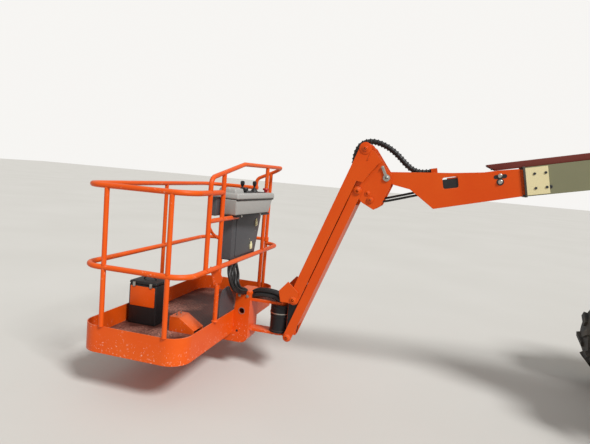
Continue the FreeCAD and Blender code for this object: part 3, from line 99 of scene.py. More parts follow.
lamp = bpy.data.objects.new("lamp", bpy.data.lights.new("lamp", "SUN"))
lamp.data.energy = LAMP_STRENGTH
lamp.data.angle = LAMP_SPREAD
lamp.rotation_euler = Vector((0.62, -0.42, -0.72)).to_track_quat("-Z", "Y").to_euler()
scene.collection.objects.link(lamp)
world = bpy.data.worlds.new("surroundings")
scene.world = world
world.use_nodes = True
world.node_tree.nodes.clear()
ray = add_node(world.node_tree, "ShaderNodeLightPath")
plain = add_node(world.node_tree, "ShaderNodeMath", {0: ray.outputs["Is Camera Ray"],
                                                     1: ray.outputs["Is Transmission Ray"]}, operation="MAXIMUM")
strength = add_node(world.node_tree, "ShaderNodeMapRange", {"Value": plain.outputs[0], "To Min": SKY_STRENGTH,
                                                            "To Max": SHOWN_SKY})
sky = add_node(world.node_tree, "ShaderNodeBackground", {"Color": (1.0, 0.985, 0.96, 1),
                                                         "Strength": strength.outputs[0]})
add_node(world.node_tree, "ShaderNodeOutputWorld", {"Surface": sky.outputs[0]})


# Floor. Plain pale concrete, far wider than the machine, with a slight unevenness in tone.
FLOOR_REACH = 60.0


def linear(text):
    """A colour written as sRGB hex, as the linear values that the shaders take."""
    parts = [int(text[place:place + 2], 16) / 255 for place in (0, 2, 4)]
    return [part / 12.92 if part <= 0.04045 else ((part + 0.055) / 1.055) ** 2.4 for part in parts] + [1.0]


def new_material(name):
    """A material with an empty tree, and its Principled shader."""
    material = bpy.data.materials.new(name)
    material.use_nodes = True
    material.node_tree.nodes.clear()
    shader = add_node(material.node_tree, "ShaderNodeBsdfPrincipled")
    add_node(material.node_tree, "ShaderNodeOutputMaterial", {"Surface": shader.outputs[0]})
    return material, material.node_tree, shader


def noise(tree, vector, scale, detail=3.0, roughness=0.5):
    """The value of a noise pattern with so many waves to the metre."""
    return add_node(tree, "ShaderNodeTexNoise", {"Vector": vector, "Scale": scale, "Detail": detail,
                                                 "Roughness": roughness}).outputs["Fac"]


def step(tree, value, low, high, start=0.0, end=1.0):
    """A value mapped from one span to another and held at its ends."""
    return add_node(tree, "ShaderNodeMapRange", {"Value": value, "From Min": low, "From Max": high,
                                                 "To Min": start, "To Max": end}).outputs[0]


def blend_colours(tree, share, first, second):
    return add_node(tree, "ShaderNodeMix", {0: share, 6: first, 7: second}, data_type="RGBA").outputs[2]


def combine(tree, operation, first, second):
    return add_node(tree, "ShaderNodeMath", {0: first, 1: second}, operation=operation).outputs[0]


floor_concrete, tree, shader = new_material("pale_floated_concrete")
place = add_node(tree, "ShaderNodeTexCoord").outputs["Object"]
tone = blend_colours(tree, noise(tree, place, 0.5, 6), linear("C4C2BC"), linear("CFCDC8"))
tree.links.new(tone, shader.inputs["Base Color"])
shader.inputs["Roughness"].default_value = 0.85
bm = bmesh.new()
bmesh.ops.create_grid(bm, x_segments=1, y_segments=1, size=FLOOR_REACH)
floor = bpy.data.objects.new("floor", bpy.data.meshes.new("floor"))
bm.to_mesh(floor.data)
bm.free()
floor.data.materials.append(floor_concrete)
scene.collection.objects.link(floor)


# Jib hoses. Hydraulic hoses in a black nylon spiral sleeve leave a clamp on the boom nose's far side, go over the
# jib's pivot and drop behind the upper jib arm. Two more run bare under the nose into the jib's bracket.
# The route's places run along the boom and square to it, from the nose pin.
HOSE_RADIUS, HOSE_SIDE = 0.024, -0.140
SLEEVE_PITCH, SLEEVE_CORD = 0.027, 0.0050
HOSE_ROUTE = [(-0.300, 0.010), (-0.235, 0.010), (-0.175, 0.036), (-0.128, 0.088), (-0.088, 0.148), (-0.035, 0.211),
              (0.036, 0.264), (0.104, 0.290), (0.168, 0.285), (0.214, 0.243), (0.241, 0.180), (0.252, 0.113)]
PAIR_RADIUS = 0.0085
PAIR_ROUTE = [(1.130, 0.0, 1.535), (1.200, 0.0, 1.522), (1.300, 0.0, 1.493), (1.430, 0.0, 1.453), (1.530, 0.0, 1.425),
              (1.590, 0.0, 1.437)]
ALONG, ACROSS, UP = Vector((1, 0, 0)), Vector((0, 1, 0)), Vector((0, 0, 1))
NEAR, FAR = 1, -1


# Carbon-black rubber, slightly glossy where it is handled and dull with brown dust elsewhere.
def rubber(name, colour, dusty, dust_share, grain, worn=0.62):
    material, tree, shader = new_material(name)
    place = add_node(tree, "ShaderNodeTexCoord").outputs["Object"]
    dust = step(tree, noise(tree, place, 7, 6, 0.6), 0.42, 0.75, 0.0, dust_share)
    tree.links.new(blend_colours(tree, dust, linear(colour), linear(dusty)), shader.inputs["Base Color"])
    tree.links.new(step(tree, dust, 0.0, 1.0, worn, 0.95), shader.inputs["Roughness"])
    bump = add_node(tree, "ShaderNodeBump", {"Strength": 0.3, "Distance": 0.001,
                                             "Height": noise(tree, place, grain, 4)})
    tree.links.new(bump.outputs[0], shader.inputs["Normal"])
    return material


hose_rubber = rubber("hose_rubber", "121213", "3C3A37", 0.3, 300, 0.42)
joint = {part["name"]: part for part in frame["joints"]}
pin = {name: Vector(part["pos_m"]) for name, part in joint.items() if part.get("pos_m")}


def beam_frame(foot, ahead):
    """Places along a beam in the middle plane: x along it from its pin, z square to it."""
    return Matrix.Translation(foot) @ Matrix.Rotation(math.atan2(-ahead.z, ahead.x), 4, "Y")


nose_pin = pin["jib_bracket_level"]
boom_ahead = Vector(joint["boom_telescope"]["axis"])
nose_frame = beam_frame(nose_pin, boom_ahead)


def pulled(points, radius=0.0, kind="NURBS"):
    """The mesh of a round tube along a route, or the route's bare smooth line when radius is 0."""
    curve = bpy.data.curves.new("route", "CURVE")
    curve.dimensions = "3D"
    curve.resolution_u = 10
    curve.bevel_depth = radius
    curve.bevel_resolution = 3
    curve.use_fill_caps = True
    spline = curve.splines.new(kind)
    spline.points.add(len(points) - 1)
    for knot, point in zip(spline.points, points):
        knot.co = (*point, 1.0)
    if kind == "NURBS":
        spline.order_u = 3
        spline.use_endpoint_u = True
    holder = bpy.data.objects.new("route", curve)
    mesh = bpy.data.meshes.new_from_object(holder)
    bpy.data.objects.remove(holder)
    bpy.data.curves.remove(curve)
    return mesh


def smooth_line(points):
    """Places along the smooth line that a route's points pull."""
    mesh = pulled(points)
    line = [vert.co.copy() for vert in mesh.vertices]
    bpy.data.meshes.remove(mesh)
    return line


def tube(bm, points, radius, kind="NURBS"):
    """Adds a round tube along a route to a piece."""
    mesh = pulled(points, radius, kind)
    bm.from_mesh(mesh)
    bpy.data.meshes.remove(mesh)


def make_piece(name, bm, finish, body, sharp=35):
    """The finished piece: outward faces, smooth where it is round, riding on its body if one is named."""
    bmesh.ops.remove_doubles(bm, verts=bm.verts[:], dist=1e-6)
    bmesh.ops.recalc_face_normals(bm, faces=bm.faces[:])
    mesh = bpy.data.meshes.new(name)
    bm.to_mesh(mesh)
    bm.free()
    mesh.shade_smooth()
    mesh.set_sharp_from_angle(angle=math.radians(sharp))
    mesh.materials.append(finish)
    piece = bpy.data.objects.new(name, mesh)
    scene.collection.objects.link(piece)
    if body:
        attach(piece, body)
    return piece


route = [nose_frame @ Vector((along, HOSE_SIDE, up)) for along, up in HOSE_ROUTE]
line = smooth_line(route)
bm = bmesh.new()
tube(bm, route, HOSE_RADIUS - SLEEVE_CORD)
# The sleeve's cord winds round the hoses, one turn for each pitch of the route's length
wound, gone, turns = [], 0.0, 14
for before, after in zip(line, line[1:]):
    run = after - before
    square = run.normalized().cross(ACROSS)
    for share in range(turns):
        part = share / turns
        angle = (gone + run.length * part) / SLEEVE_PITCH * math.tau
        reach = ACROSS * math.cos(angle) + square * math.sin(angle)
        wound.append(before + run * part + reach * (HOSE_RADIUS - SLEEVE_CORD))
    gone += run.length
tube(bm, wound, SLEEVE_CORD, "POLY")
jib_hose = make_piece("jib_hose_sleeve", bm, hose_rubber, "fly_boom", 50)
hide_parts("jib_hose")
for name, rise in (("nose_hose_upper", 0.011), ("nose_hose_lower", -0.011)):
    route = [Vector(point) + UP * rise for point in PAIR_ROUTE]
    line = smooth_line(route)
    bm = bmesh.new()
    tube(bm, route, PAIR_RADIUS)
    hose = make_piece(name, bm, hose_rubber, None, 50)
    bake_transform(hose)


# Platform hoses. Five hoses and cables drop from the locker, pass under the middle rail and go down into the column
# behind the rotator. They are black rubber.
DROP_RADIUS = 0.012
DROP_ROUTES = [
    ("platform_hose_a", [(2.600, -0.010, 0.880), (2.590, 0.010, 0.858), (2.560, 0.120, 0.852), (2.536, 0.236, 0.812),
                         (2.528, 0.250, 0.736), (2.520, 0.176, 0.660), (2.505, 0.090, 0.640), (2.500, 0.040, 0.600)]),
    ("platform_hose_b", [(2.606, 0.050, 0.880), (2.598, 0.066, 0.862), (2.566, 0.170, 0.870), (2.538, 0.280, 0.836),
                         (2.526, 0.290, 0.746), (2.512, 0.230, 0.660), (2.498, 0.110, 0.634), (2.490, 0.062, 0.600)]),
    ("platform_hose_c", [(2.604, 0.020, 0.880), (2.596, 0.034, 0.846), (2.560, 0.080, 0.800), (2.524, 0.140, 0.770),
                         (2.506, 0.190, 0.720), (2.496, 0.150, 0.666), (2.480, 0.060, 0.650), (2.474, 0.010, 0.600)]),
    ("platform_hose_d", [(2.606, 0.120, 0.880), (2.600, 0.134, 0.864), (2.568, 0.226, 0.856), (2.536, 0.300, 0.800),
                         (2.508, 0.286, 0.712), (2.490, 0.190, 0.640), (2.472, 0.094, 0.632), (2.466, 0.048, 0.600)]),
    ("platform_hose_e", [(2.602, 0.090, 0.880), (2.594, 0.098, 0.850), (2.556, 0.150, 0.800), (2.520, 0.206, 0.760),
                         (2.500, 0.244, 0.706), (2.484, 0.170, 0.650), (2.468, 0.070, 0.640), (2.458, 0.020, 0.600)]),
]
for name, route in DROP_ROUTES:
    line = smooth_line(route)
    bm = bmesh.new()
    tube(bm, route, DROP_RADIUS)
    hose = make_piece(name, bm, hose_rubber, "platform", 50)


# Chassis and axles. A welded steel frame in charcoal enamel, with bolted covers on its middle box and an oil-filled
# casting in the middle of each axle that a hydraulic motor drives.
COVER_LONG, COVER_TALL, COVER_THICK = 0.86, 0.21, 0.006
HOUSING = [(0.076, -0.165), (0.100, -0.100), (0.124, -0.045), (0.130, 0.000), (0.124, 0.045), (0.100, 0.100),
           (0.076, 0.165)]
chassis_low, chassis_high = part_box("chassis_frame")
swing_pin = pin["swing"]
front_pin, rear_pin = pin["roll_front_left"], pin["roll_rear_left"]


# Sprayed enamel on welded steel. It has a faint orange peel, is chalky where the sun has faded it, shows paler
# scuffs where hands, boots and walls have rubbed it, and holds dust on what faces up.
def sprayed_enamel(name, colour, faded, scuffed, scuff_share, low_scuffs=None, gloss=0.38):
    material, tree, shader = new_material(name)
    coords = add_node(tree, "ShaderNodeTexCoord")
    place = coords.outputs["Object"]
    upwards = add_node(tree, "ShaderNodeSeparateXYZ", {0: coords.outputs["Normal"]}).outputs["Z"]
    height = add_node(tree, "ShaderNodeSeparateXYZ", {0: place}).outputs["Z"]
    # Fading in patches of about half a metre, stronger on top
    patches = step(tree, noise(tree, place, 2.2, 5), 0.38, 0.72, 0.0, 0.7)
    sunned = combine(tree, "ADD", patches, step(tree, upwards, 0.2, 1.0, 0.0, 0.3))
    paint = blend_colours(tree, sunned, linear(colour), linear(faded))
    # Rounded edges lose their paint first: the bevelled normal leaves the true one only near an edge
    soft = add_node(tree, "ShaderNodeBevel", {"Radius": 0.004}, samples=4)
    true = add_node(tree, "ShaderNodeNewGeometry").outputs["Normal"]
    match = add_node(tree, "ShaderNodeVectorMath", {0: soft.outputs[0], 1: true}, operation="DOT_PRODUCT")
    edge = step(tree, match.outputs["Value"], 0.9, 0.995, 1.0, 0.0)
    worn_edge = combine(tree, "MULTIPLY", edge, step(tree, noise(tree, place, 26, 4, 0.65), 0.5, 0.64))
    # Chips and scuffs of 5 to 30 mm
    scuffs = step(tree, noise(tree, place, 66, 7, 0.68), 0.70 - scuff_share, 0.74 - scuff_share)
    gate = step(tree, noise(tree, place, 5.5, 3), 0.52, 0.68)
    if low_scuffs:
        gate = combine(tree, "MAXIMUM", gate, step(tree, height, low_scuffs[1], low_scuffs[0]))
    scuffs = combine(tree, "MULTIPLY", scuffs, gate)
    bare = combine(tree, "MAXIMUM", combine(tree, "MULTIPLY", worn_edge, 0.7), scuffs)
    paint = blend_colours(tree, bare, paint, linear(scuffed))
    dust = combine(tree, "MULTIPLY", step(tree, upwards, 0.55, 1.0, 0.0, 0.22),
                   step(tree, noise(tree, place, 9, 5), 0.3, 0.7))
    paint = blend_colours(tree, dust, paint, linear("A89A86"))
    tree.links.new(paint, shader.inputs["Base Color"])
    rough = step(tree, combine(tree, "ADD", bare, combine(tree, "MULTIPLY", patches, 0.3)), 0.0, 1.0, gloss, 0.62)
    tree.links.new(rough, shader.inputs["Roughness"])
    # Orange peel about 4 mm across, drawn coarser than the real 2 mm so that it shows
    peel = noise(tree, place, 240, 2)
    relief = combine(tree, "SUBTRACT", combine(tree, "MULTIPLY", peel, 0.35), combine(tree, "MULTIPLY", bare, 0.5))
    bump = add_node(tree, "ShaderNodeBump", {"Strength": 0.25, "Distance": 0.0008, "Height": relief,
                                             "Normal": soft.outputs[0]})
    tree.links.new(bump.outputs[0], shader.inputs["Normal"])
    shader.inputs["Specular IOR Level"].default_value = 0.22
    return material


# Zinc-plated steel: a dull silver with a fine mottled plating and slightly yellow passivation.
def plain_metal(name, colour, roughness, grain, uneven):
    material, tree, shader = new_material(name)
    place = add_node(tree, "ShaderNodeTexCoord").outputs["Object"]
    spread = noise(tree, place, grain, 5, 0.6)
    tree.links.new(blend_colours(tree, step(tree, spread, 0.3, 0.75), linear(colour), linear(uneven)),
                   shader.inputs["Base Color"])
    tree.links.new(step(tree, spread, 0.3, 0.8, roughness, roughness * 1.6), shader.inputs["Roughness"])
    bump = add_node(tree, "ShaderNodeBump", {"Strength": 0.12, "Distance": 0.0005, "Height": spread})
    tree.links.new(bump.outputs[0], shader.inputs["Normal"])
    shader.inputs["Metallic"].default_value = 1.0
    return material


charcoal_enamel = sprayed_enamel("charcoal_enamel", "35373A", "46484B", "7C7A76", 0.01, gloss=0.45)
zinc_steel = plain_metal("zinc_plated_steel", "C2C0B8", 0.36, 180, "9A9890")


def facing(point, direction, spin=0.0):
    """A placing whose z runs out along direction and whose y stays as upright as it can."""
    turn = Vector(direction).to_track_quat("Z", "Y").to_matrix().to_4x4()
    return Matrix.Translation(point) @ turn @ Matrix.Rotation(spin, 4, "Z")


def side_frame(hand, y, x=0.0, z=0.0):
    """A placing on the side of the machine: its x along the machine, its y up, its z outwards."""
    rows = Matrix(((1, 0, 0, x), (0, 0, hand, y * hand), (0, 1, 0, z), (0, 0, 0, 1)))
    return rows


def put(bm, shape, place):
    """Adds a shape that was made at the origin to a piece, at its place."""
    shape.transform(place)
    kept = bpy.data.meshes.new("shape")
    shape.to_mesh(kept)
    shape.free()
    bm.from_mesh(kept)
    bpy.data.meshes.remove(kept)


def soften(shape, edges, width, segments=2):
    """Rounds edges of a shape."""
    bmesh.ops.bevel(shape, geom=edges, offset=width, offset_type="OFFSET", affect="EDGES", segments=segments,
                    profile=0.5, material=-1)


def block(bm, place, size, soft=0.0, segments=2, top=(1.0, 1.0)):
    """A block about its middle with rounded edges; top narrows or widens its upper face."""
    shape = bmesh.new()
    bmesh.ops.create_cube(shape, size=1.0, matrix=Matrix.Diagonal((*size, 1.0)))
    bmesh.ops.scale(shape, vec=(*top, 1.0), verts=[vert for vert in shape.verts if vert.co.z > 0])
    if soft:
        soften(shape, shape.edges[:], soft, segments)
    put(bm, shape, place)


def plate(bm, place, outline, thickness, corner=0.0, soft=0.0):
    """A plate raised from its outline along the placing's z, with rounded corners and softened faces."""
    shape = bmesh.new()
    shape.faces.new([shape.verts.new((x, y, 0)) for x, y in outline])
    if corner:
        bmesh.ops.bevel(shape, geom=shape.verts[:], offset=corner, offset_type="OFFSET", affect="VERTICES",
                        segments=5, profile=0.5, material=-1)
    raised = bmesh.ops.extrude_face_region(shape, geom=shape.faces[:], use_keep_orig=True)["geom"]
    bmesh.ops.translate(shape, vec=(0, 0, thickness), verts=[part for part in raised
                                                             if isinstance(part, bmesh.types.BMVert)])
    if soft:
        soften(shape, [edge for edge in shape.edges if min(vert.co.z for vert in edge.verts) > thickness / 2], soft)
    put(bm, shape, place)


def panel(bm, place, long, tall, thickness, corner=0.0, soft=0.0):
    """A rectangular plate about its middle."""
    x, y = long / 2, tall / 2
    plate(bm, place, [(-x, -y), (x, -y), (x, y), (-x, y)], thickness, corner, soft)


def turned(bm, place, profile, sides=28, ring=False):
    """A shape turned about its placing's z from (radius, height) pairs, closed on the axis unless it is a ring."""
    shape = bmesh.new()
    ends = [] if ring else [(0, profile[0][1])], [] if ring else [(0, profile[-1][1])]
    wire = [shape.verts.new((radius, 0, height)) for radius, height in [*ends[0], *profile, *ends[1]]]
    for low, high in zip(wire, wire[1:]):
        shape.edges.new((low, high))
    if ring:
        shape.edges.new((wire[-1], wire[0]))
    bmesh.ops.spin(shape, geom=shape.verts[:] + shape.edges[:], cent=(0, 0, 0), axis=(0, 0, 1), angle=math.tau,
                   steps=sides, use_merge=True)
    bmesh.ops.remove_doubles(shape, verts=shape.verts[:], dist=1e-6)
    put(bm, shape, place)


def bolt(bm, place, radius, spin=0.3):
    """A hexagon bolt's head on its washer."""
    turned(bm, place, [(radius * 1.4, 0), (radius * 1.4, radius * 0.22), (radius, radius * 0.22)], 16)
    turned(bm, place @ Matrix.Rotation(spin, 4, "Z"), [(radius, radius * 0.2), (radius, radius * 0.8),
                                                       (radius * 0.8, radius * 0.95)], 6)


covers, bolts, castings = bmesh.new(), bmesh.new(), bmesh.new()
cover_z = (chassis_low.z + chassis_high.z) / 2 + 0.02
for hand in (NEAR, FAR):
    side = side_frame(hand, chassis_high.y, swing_pin.x, cover_z)
    panel(covers, side, COVER_LONG, COVER_TALL, COVER_THICK, 0.03, 0.0015)
    for across in (-0.40, -0.13, 0.13, 0.40):
        for up in (-0.085, 0.085):
            bolt(bolts, side @ Matrix.Translation((across, up, COVER_THICK)), 0.009, across * 7)
    for end_x in (chassis_low.x, chassis_high.x):
        out = 1 if end_x > swing_pin.x else -1
        for up in (0.60, 0.74):
            bolt(bolts, facing((end_x, 0.19 * hand, up), ALONG * out), 0.014, up)
for axle, inward in ((front_pin, -1), (rear_pin, 1)):
    middle = Vector((axle.x, 0, axle.z))
    turned(castings, facing(middle, ACROSS), HOUSING, 36)
    turned(castings, facing(middle, ALONG * inward), [(0.085, 0.06), (0.085, 0.15), (0.064, 0.17), (0.064, 0.30),
                                                      (0.050, 0.32)], 32)
    for k in range(10):
        angle = k * math.tau / 10
        spot = middle + Vector((-inward * 0.006, 0, 0))
        rim = Vector((0, math.cos(angle), math.sin(angle))) * 0.074
        bolt(bolts, facing(middle + rim + ALONG * inward * 0.15, ALONG * inward), 0.006, angle)
    panel(castings, facing(middle - ALONG * inward * 0.118, -ALONG * inward), 0.13, 0.13, 0.016, 0.05, 0.003)
make_piece("chassis_covers", covers, charcoal_enamel, "chassis")
make_piece("chassis_bolts", bolts, zinc_steel, "chassis")
make_piece("axle_castings", castings, charcoal_enamel, "chassis")


# Wheels. Pressed steel discs in cream enamel, held by nine nuts, with a rolled rim and a moulded rubber tyre whose
# sidewalls carry raised rings.
NUT_CIRCLE, NUT_COUNT, NUT_AT = 0.076, 9, 0.034
RIM_FLANGE = [(0.206, 0.108), (0.222, 0.108), (0.227, 0.113), (0.226, 0.119), (0.219, 0.122), (0.206, 0.118)]
SIDE_RINGS = (0.296, 0.338)


tyre_rubber = rubber("tyre_rubber", "1F1F20", "6E6559", 0.75, 120)
cream_enamel = sprayed_enamel("cream_enamel", "DDD0A0", "E6DCB6", "9A9482", 0.0)
for corner in ("front_left", "front_right", "rear_left", "rear_right"):
    axle = pin["roll_" + corner]
    hand = NEAR if axle.y > 0 else FAR
    outer = facing(axle, ACROSS * hand)
    rim, nuts, rings = bmesh.new(), bmesh.new(), bmesh.new()
    for face in (1, -1):
        turned(rim, outer, [(radius, height * face) for radius, height in RIM_FLANGE], 72, ring=True)
        for radius in SIDE_RINGS:
            turned(rings, outer, [(radius - 0.005, 0.153 * face), (radius - 0.003, 0.158 * face),
                                  (radius + 0.003, 0.158 * face), (radius + 0.005, 0.153 * face)], 72, ring=True)
    for k in range(NUT_COUNT):
        angle = k * math.tau / NUT_COUNT
        spot = outer @ Matrix.Translation((NUT_CIRCLE * math.cos(angle), NUT_CIRCLE * math.sin(angle), NUT_AT))
        turned(nuts, spot, [(0.0105, 0), (0.0105, 0.012), (0.009, 0.014), (0.006, 0.014), (0.006, 0.024)], 6)
    for k in range(6):
        angle = k * math.tau / 6
        bolt(nuts, outer @ Matrix.Translation((0.037 * math.cos(angle), 0.037 * math.sin(angle), 0.104)), 0.005)
    turned(nuts, outer @ Matrix.Translation((0.188, 0, 0.074)), [(0.006, 0), (0.005, 0.02), (0.003, 0.034)], 12)
    make_piece(f"rim_{corner}", rim, cream_enamel, f"wheel_{corner}")
    make_piece(f"wheel_nuts_{corner}", nuts, zinc_steel, f"wheel_{corner}")
    make_piece(f"sidewall_rings_{corner}", rings, tyre_rubber, f"wheel_{corner}")


# Turntable. The cast counterweight is bolted on from behind and has lifting eyes on top. Between the hoods stand
# the engine's and tanks' fittings, and the ground control panel closes the right hood's front.
weight_low, weight_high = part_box("counterweight")
TAIL_RADIUS = swing_pin.x - weight_low.x
panel_low, panel_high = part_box("ground_controls")
engine_low, engine_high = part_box("engine_block")
tanks_low, tanks_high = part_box("tanks")


# Moulded plastic: polypropylene and nylon housings with a fine spark-eroded grain, rubbed paler on their tops.
def moulded_plastic(name, colour, rubbed, grain, top_wear):
    material, tree, shader = new_material(name)
    coords = add_node(tree, "ShaderNodeTexCoord")
    place = coords.outputs["Object"]
    upwards = add_node(tree, "ShaderNodeSeparateXYZ", {0: coords.outputs["Normal"]}).outputs["Z"]
    scratches = step(tree, noise(tree, place, 45, 8, 0.7), 0.52, 0.68)
    share = combine(tree, "MULTIPLY", scratches, step(tree, upwards, 0.3, 0.95, 0.12, top_wear))
    tree.links.new(blend_colours(tree, share, linear(colour), linear(rubbed)), shader.inputs["Base Color"])
    tree.links.new(step(tree, share, 0.0, 1.0, 0.5, 0.72), shader.inputs["Roughness"])
    bump = add_node(tree, "ShaderNodeBump", {"Strength": 0.2, "Distance": 0.0004,
                                             "Height": noise(tree, place, grain, 2)})
    tree.links.new(bump.outputs[0], shader.inputs["Normal"])
    return material


black_plastic = moulded_plastic("black_moulded_nylon", "161617", "4A4A48", 700, 0.4)
dark_plastic = moulded_plastic("dark_moulded_polypropylene", "454548", "77777A", 700, 0.5)
red_plastic = moulded_plastic("red_moulded_nylon", "B3161A", "D85A55", 700, 0.4)
orange_enamel = sprayed_enamel("orange_enamel", "D24805", "DA5810", "E39A72", 0.02)
bolts, eyes, knobs, red_knobs, dark_parts, engine = (bmesh.new() for _ in range(6))
for angle in (-0.50, -0.30, 0.30, 0.50):
    out = Vector((-math.cos(angle), math.sin(angle), 0))
    for up in (1.00, 1.22):
        bolt(bolts, facing(swing_pin + out * TAIL_RADIUS + UP * (up - swing_pin.z), out), 0.022, up + angle)
for hand in (NEAR, FAR):
    place = side_frame(hand, 0.50, weight_low.x + 0.24, weight_high.z)
    plate(eyes, place, [(-0.06, -0.01), (0.06, -0.01), (0.03, 0.055), (-0.03, 0.055)], 0.022, 0.016, 0.002)
    turned(eyes, place @ Matrix.Translation((0, 0.026, -0.004)), [(0.016, 0), (0.026, 0), (0.026, 0.030), (0.016, 0.030)],
           24, ring=True)
front = facing(Vector((panel_high.x, (panel_low.y + panel_high.y) / 2, 0)), ALONG)
middle_z = (panel_low.z + panel_high.z) / 2
face = Matrix.Translation(Vector((panel_high.x, (panel_low.y + panel_high.y) / 2, middle_z)))
face = face @ Matrix(((0, 0, 1, 0), (1, 0, 0, 0), (0, 1, 0, 0), (0, 0, 0, 1)))
panel(dark_parts, face @ Matrix.Translation((0, 0.03, 0)), 0.30, 0.30, 0.006, 0.02, 0.001)
for row, up in enumerate((-0.08, -0.03, 0.02, 0.07)):
    for across in (-0.10, -0.05, 0.0, 0.05):
        spot = face @ Matrix.Translation((across, up, 0.006))
        turned(knobs, spot, [(0.009, 0), (0.009, 0.003), (0.006, 0.004), (0.006, 0.008)], 16)
        turned(knobs, spot @ Matrix.Rotation(0.35 if (row + across > 1) else -0.35, 4, "X"),
               [(0.0026, 0.006), (0.0036, 0.026), (0.0030, 0.029)], 12)
turned(red_knobs, face @ Matrix.Translation((0.105, 0.09, 0.006)), [(0.012, 0), (0.012, 0.016), (0.024, 0.018),
                                                                   (0.026, 0.026), (0.022, 0.034)], 28)
turned(knobs, face @ Matrix.Translation((0.105, 0.01, 0.006)), [(0.016, 0), (0.016, 0.008), (0.012, 0.010)], 24)
block(knobs, face @ Matrix.Translation((0.105, 0.01, 0.020)), (0.006, 0.022, 0.012), 0.0015)
panel(knobs, face @ Matrix.Translation((-0.05, 0.13, 0.006)), 0.12, 0.05, 0.004, 0.006, 0.001)
# Engine: cylinder head, ribbed cover, air cleaner, fan shroud and silencer
middle = (engine_low + engine_high) / 2
block(engine, Matrix.Translation((middle.x, middle.y, engine_high.z + 0.028)), (0.46, 0.15, 0.056), 0.012)
for k in range(9):
    block(engine, Matrix.Translation((middle.x - 0.20 + 0.05 * k, middle.y, engine_high.z + 0.060)),
          (0.012, 0.13, 0.014), 0.003)
for k in range(6):
    block(engine, Matrix.Translation((middle.x - 0.25 + 0.1 * k, engine_high.y + 0.006, middle.z)),
          (0.018, 0.014, 0.34), 0.004)
turned(engine, facing((engine_low.x + 0.12, engine_high.y + 0.045, engine_high.z - 0.08), ALONG),
       [(0.055, 0), (0.062, 0.01), (0.062, 0.03), (0.055, 0.035), (0.055, 0.24), (0.045, 0.25)], 32)
turned(eyes, facing((middle.x - 0.18, engine_low.y - 0.055, engine_high.z + 0.02), ALONG),
       [(0.020, -0.08), (0.020, 0), (0.050, 0.02), (0.050, 0.34), (0.020, 0.36), (0.020, 0.42)], 32)
turned(engine, facing((engine_high.x, middle.y, middle.z), ALONG), [(0.17, 0), (0.17, 0.03), (0.15, 0.032),
                                                                   (0.15, 0.006), (0.06, 0.006), (0.05, 0.03)], 40)
# Tanks: filler caps and straps
for x, deep in ((tanks_low.x + 0.22, 0.47), (tanks_high.x - 0.26, 0.42)):
    top = tanks_low.z + (0.43 if x < swing_pin.x else 0.38)
    turned(knobs, facing((x, tanks_high.y - 0.12, top), UP), [(0.042, 0), (0.042, 0.006), (0.036, 0.008),
                                                             (0.036, 0.034), (0.030, 0.038)], 28)
    for shift in (-0.12, 0.12):
        block(eyes, Matrix.Translation((x + shift, (tanks_low.y + tanks_high.y) / 2, top + 0.002)),
              (0.035, tanks_high.y - tanks_low.y - 0.01, 0.004), 0.001)
make_piece("counterweight_bolts", bolts, zinc_steel, "turntable")
make_piece("turntable_steelwork", eyes, zinc_steel, "turntable")
make_piece("ground_panel_face", dark_parts, charcoal_enamel, "turntable")
make_piece("ground_controls_knobs", knobs, black_plastic, "turntable")
make_piece("ground_emergency_stop", red_knobs, red_plastic, "turntable")
make_piece("engine_fittings", engine, charcoal_enamel, "turntable")


# Hoods. Each is a pressed shell with two paddle latches near its lower edge, three hinge knuckles along its inner
# top edge, a pull handle and a black rubber strip round the bottom.
for hand, body in ((NEAR, "hood_left"), (FAR, "hood_right")):
    low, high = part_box(body)
    latches, hinges, strip = bmesh.new(), bmesh.new(), bmesh.new()
    outer_y = max(abs(low.y), abs(high.y))
    inner_y = min(abs(low.y), abs(high.y))
    for x in (low.x + 0.55, high.x - 0.30):
        side = side_frame(hand, outer_y, x, low.z + 0.10)
        panel(latches, side, 0.12, 0.07, 0.004, 0.012, 0.001)
        block(latches, side @ Matrix.Translation((0.012, 0, 0.009)), (0.070, 0.036, 0.010), 0.004)
        turned(hinges, side @ Matrix.Translation((-0.042, 0, 0.004)), [(0.008, 0), (0.008, 0.004), (0.005, 0.005)], 20)
    for x in (low.x + 0.35, (low.x + high.x) / 2 + 0.05, high.x - 0.30):
        turned(hinges, facing((x - 0.045, inner_y * hand, high.z), ALONG), [(0.010, 0), (0.010, 0.09)], 16)
        panel(hinges, facing((x, (inner_y + 0.035) * hand, high.z), UP), 0.09, 0.06, 0.003, 0.006, 0.0008)
    side = side_frame(hand, outer_y, high.x - 0.52, low.z + 0.10)
    tube(latches, [side @ Vector(point) for point in ((-0.06, 0, -0.002), (-0.06, 0, 0.035), (0.06, 0, 0.035),
                                                      (0.06, 0, -0.002))], 0.006, "POLY")
    block(strip, Matrix.Translation(((low.x + high.x) / 2 + 0.16, (outer_y + 0.001) * hand, low.z + 0.010)),
          (high.x - low.x - 0.36, 0.006, 0.020), 0.002)
    make_piece(f"{body}_latches", latches, black_plastic, body)
    make_piece(f"{body}_hinges", hinges, zinc_steel, body)
    make_piece(f"{body}_strip", strip, tyre_rubber, body)


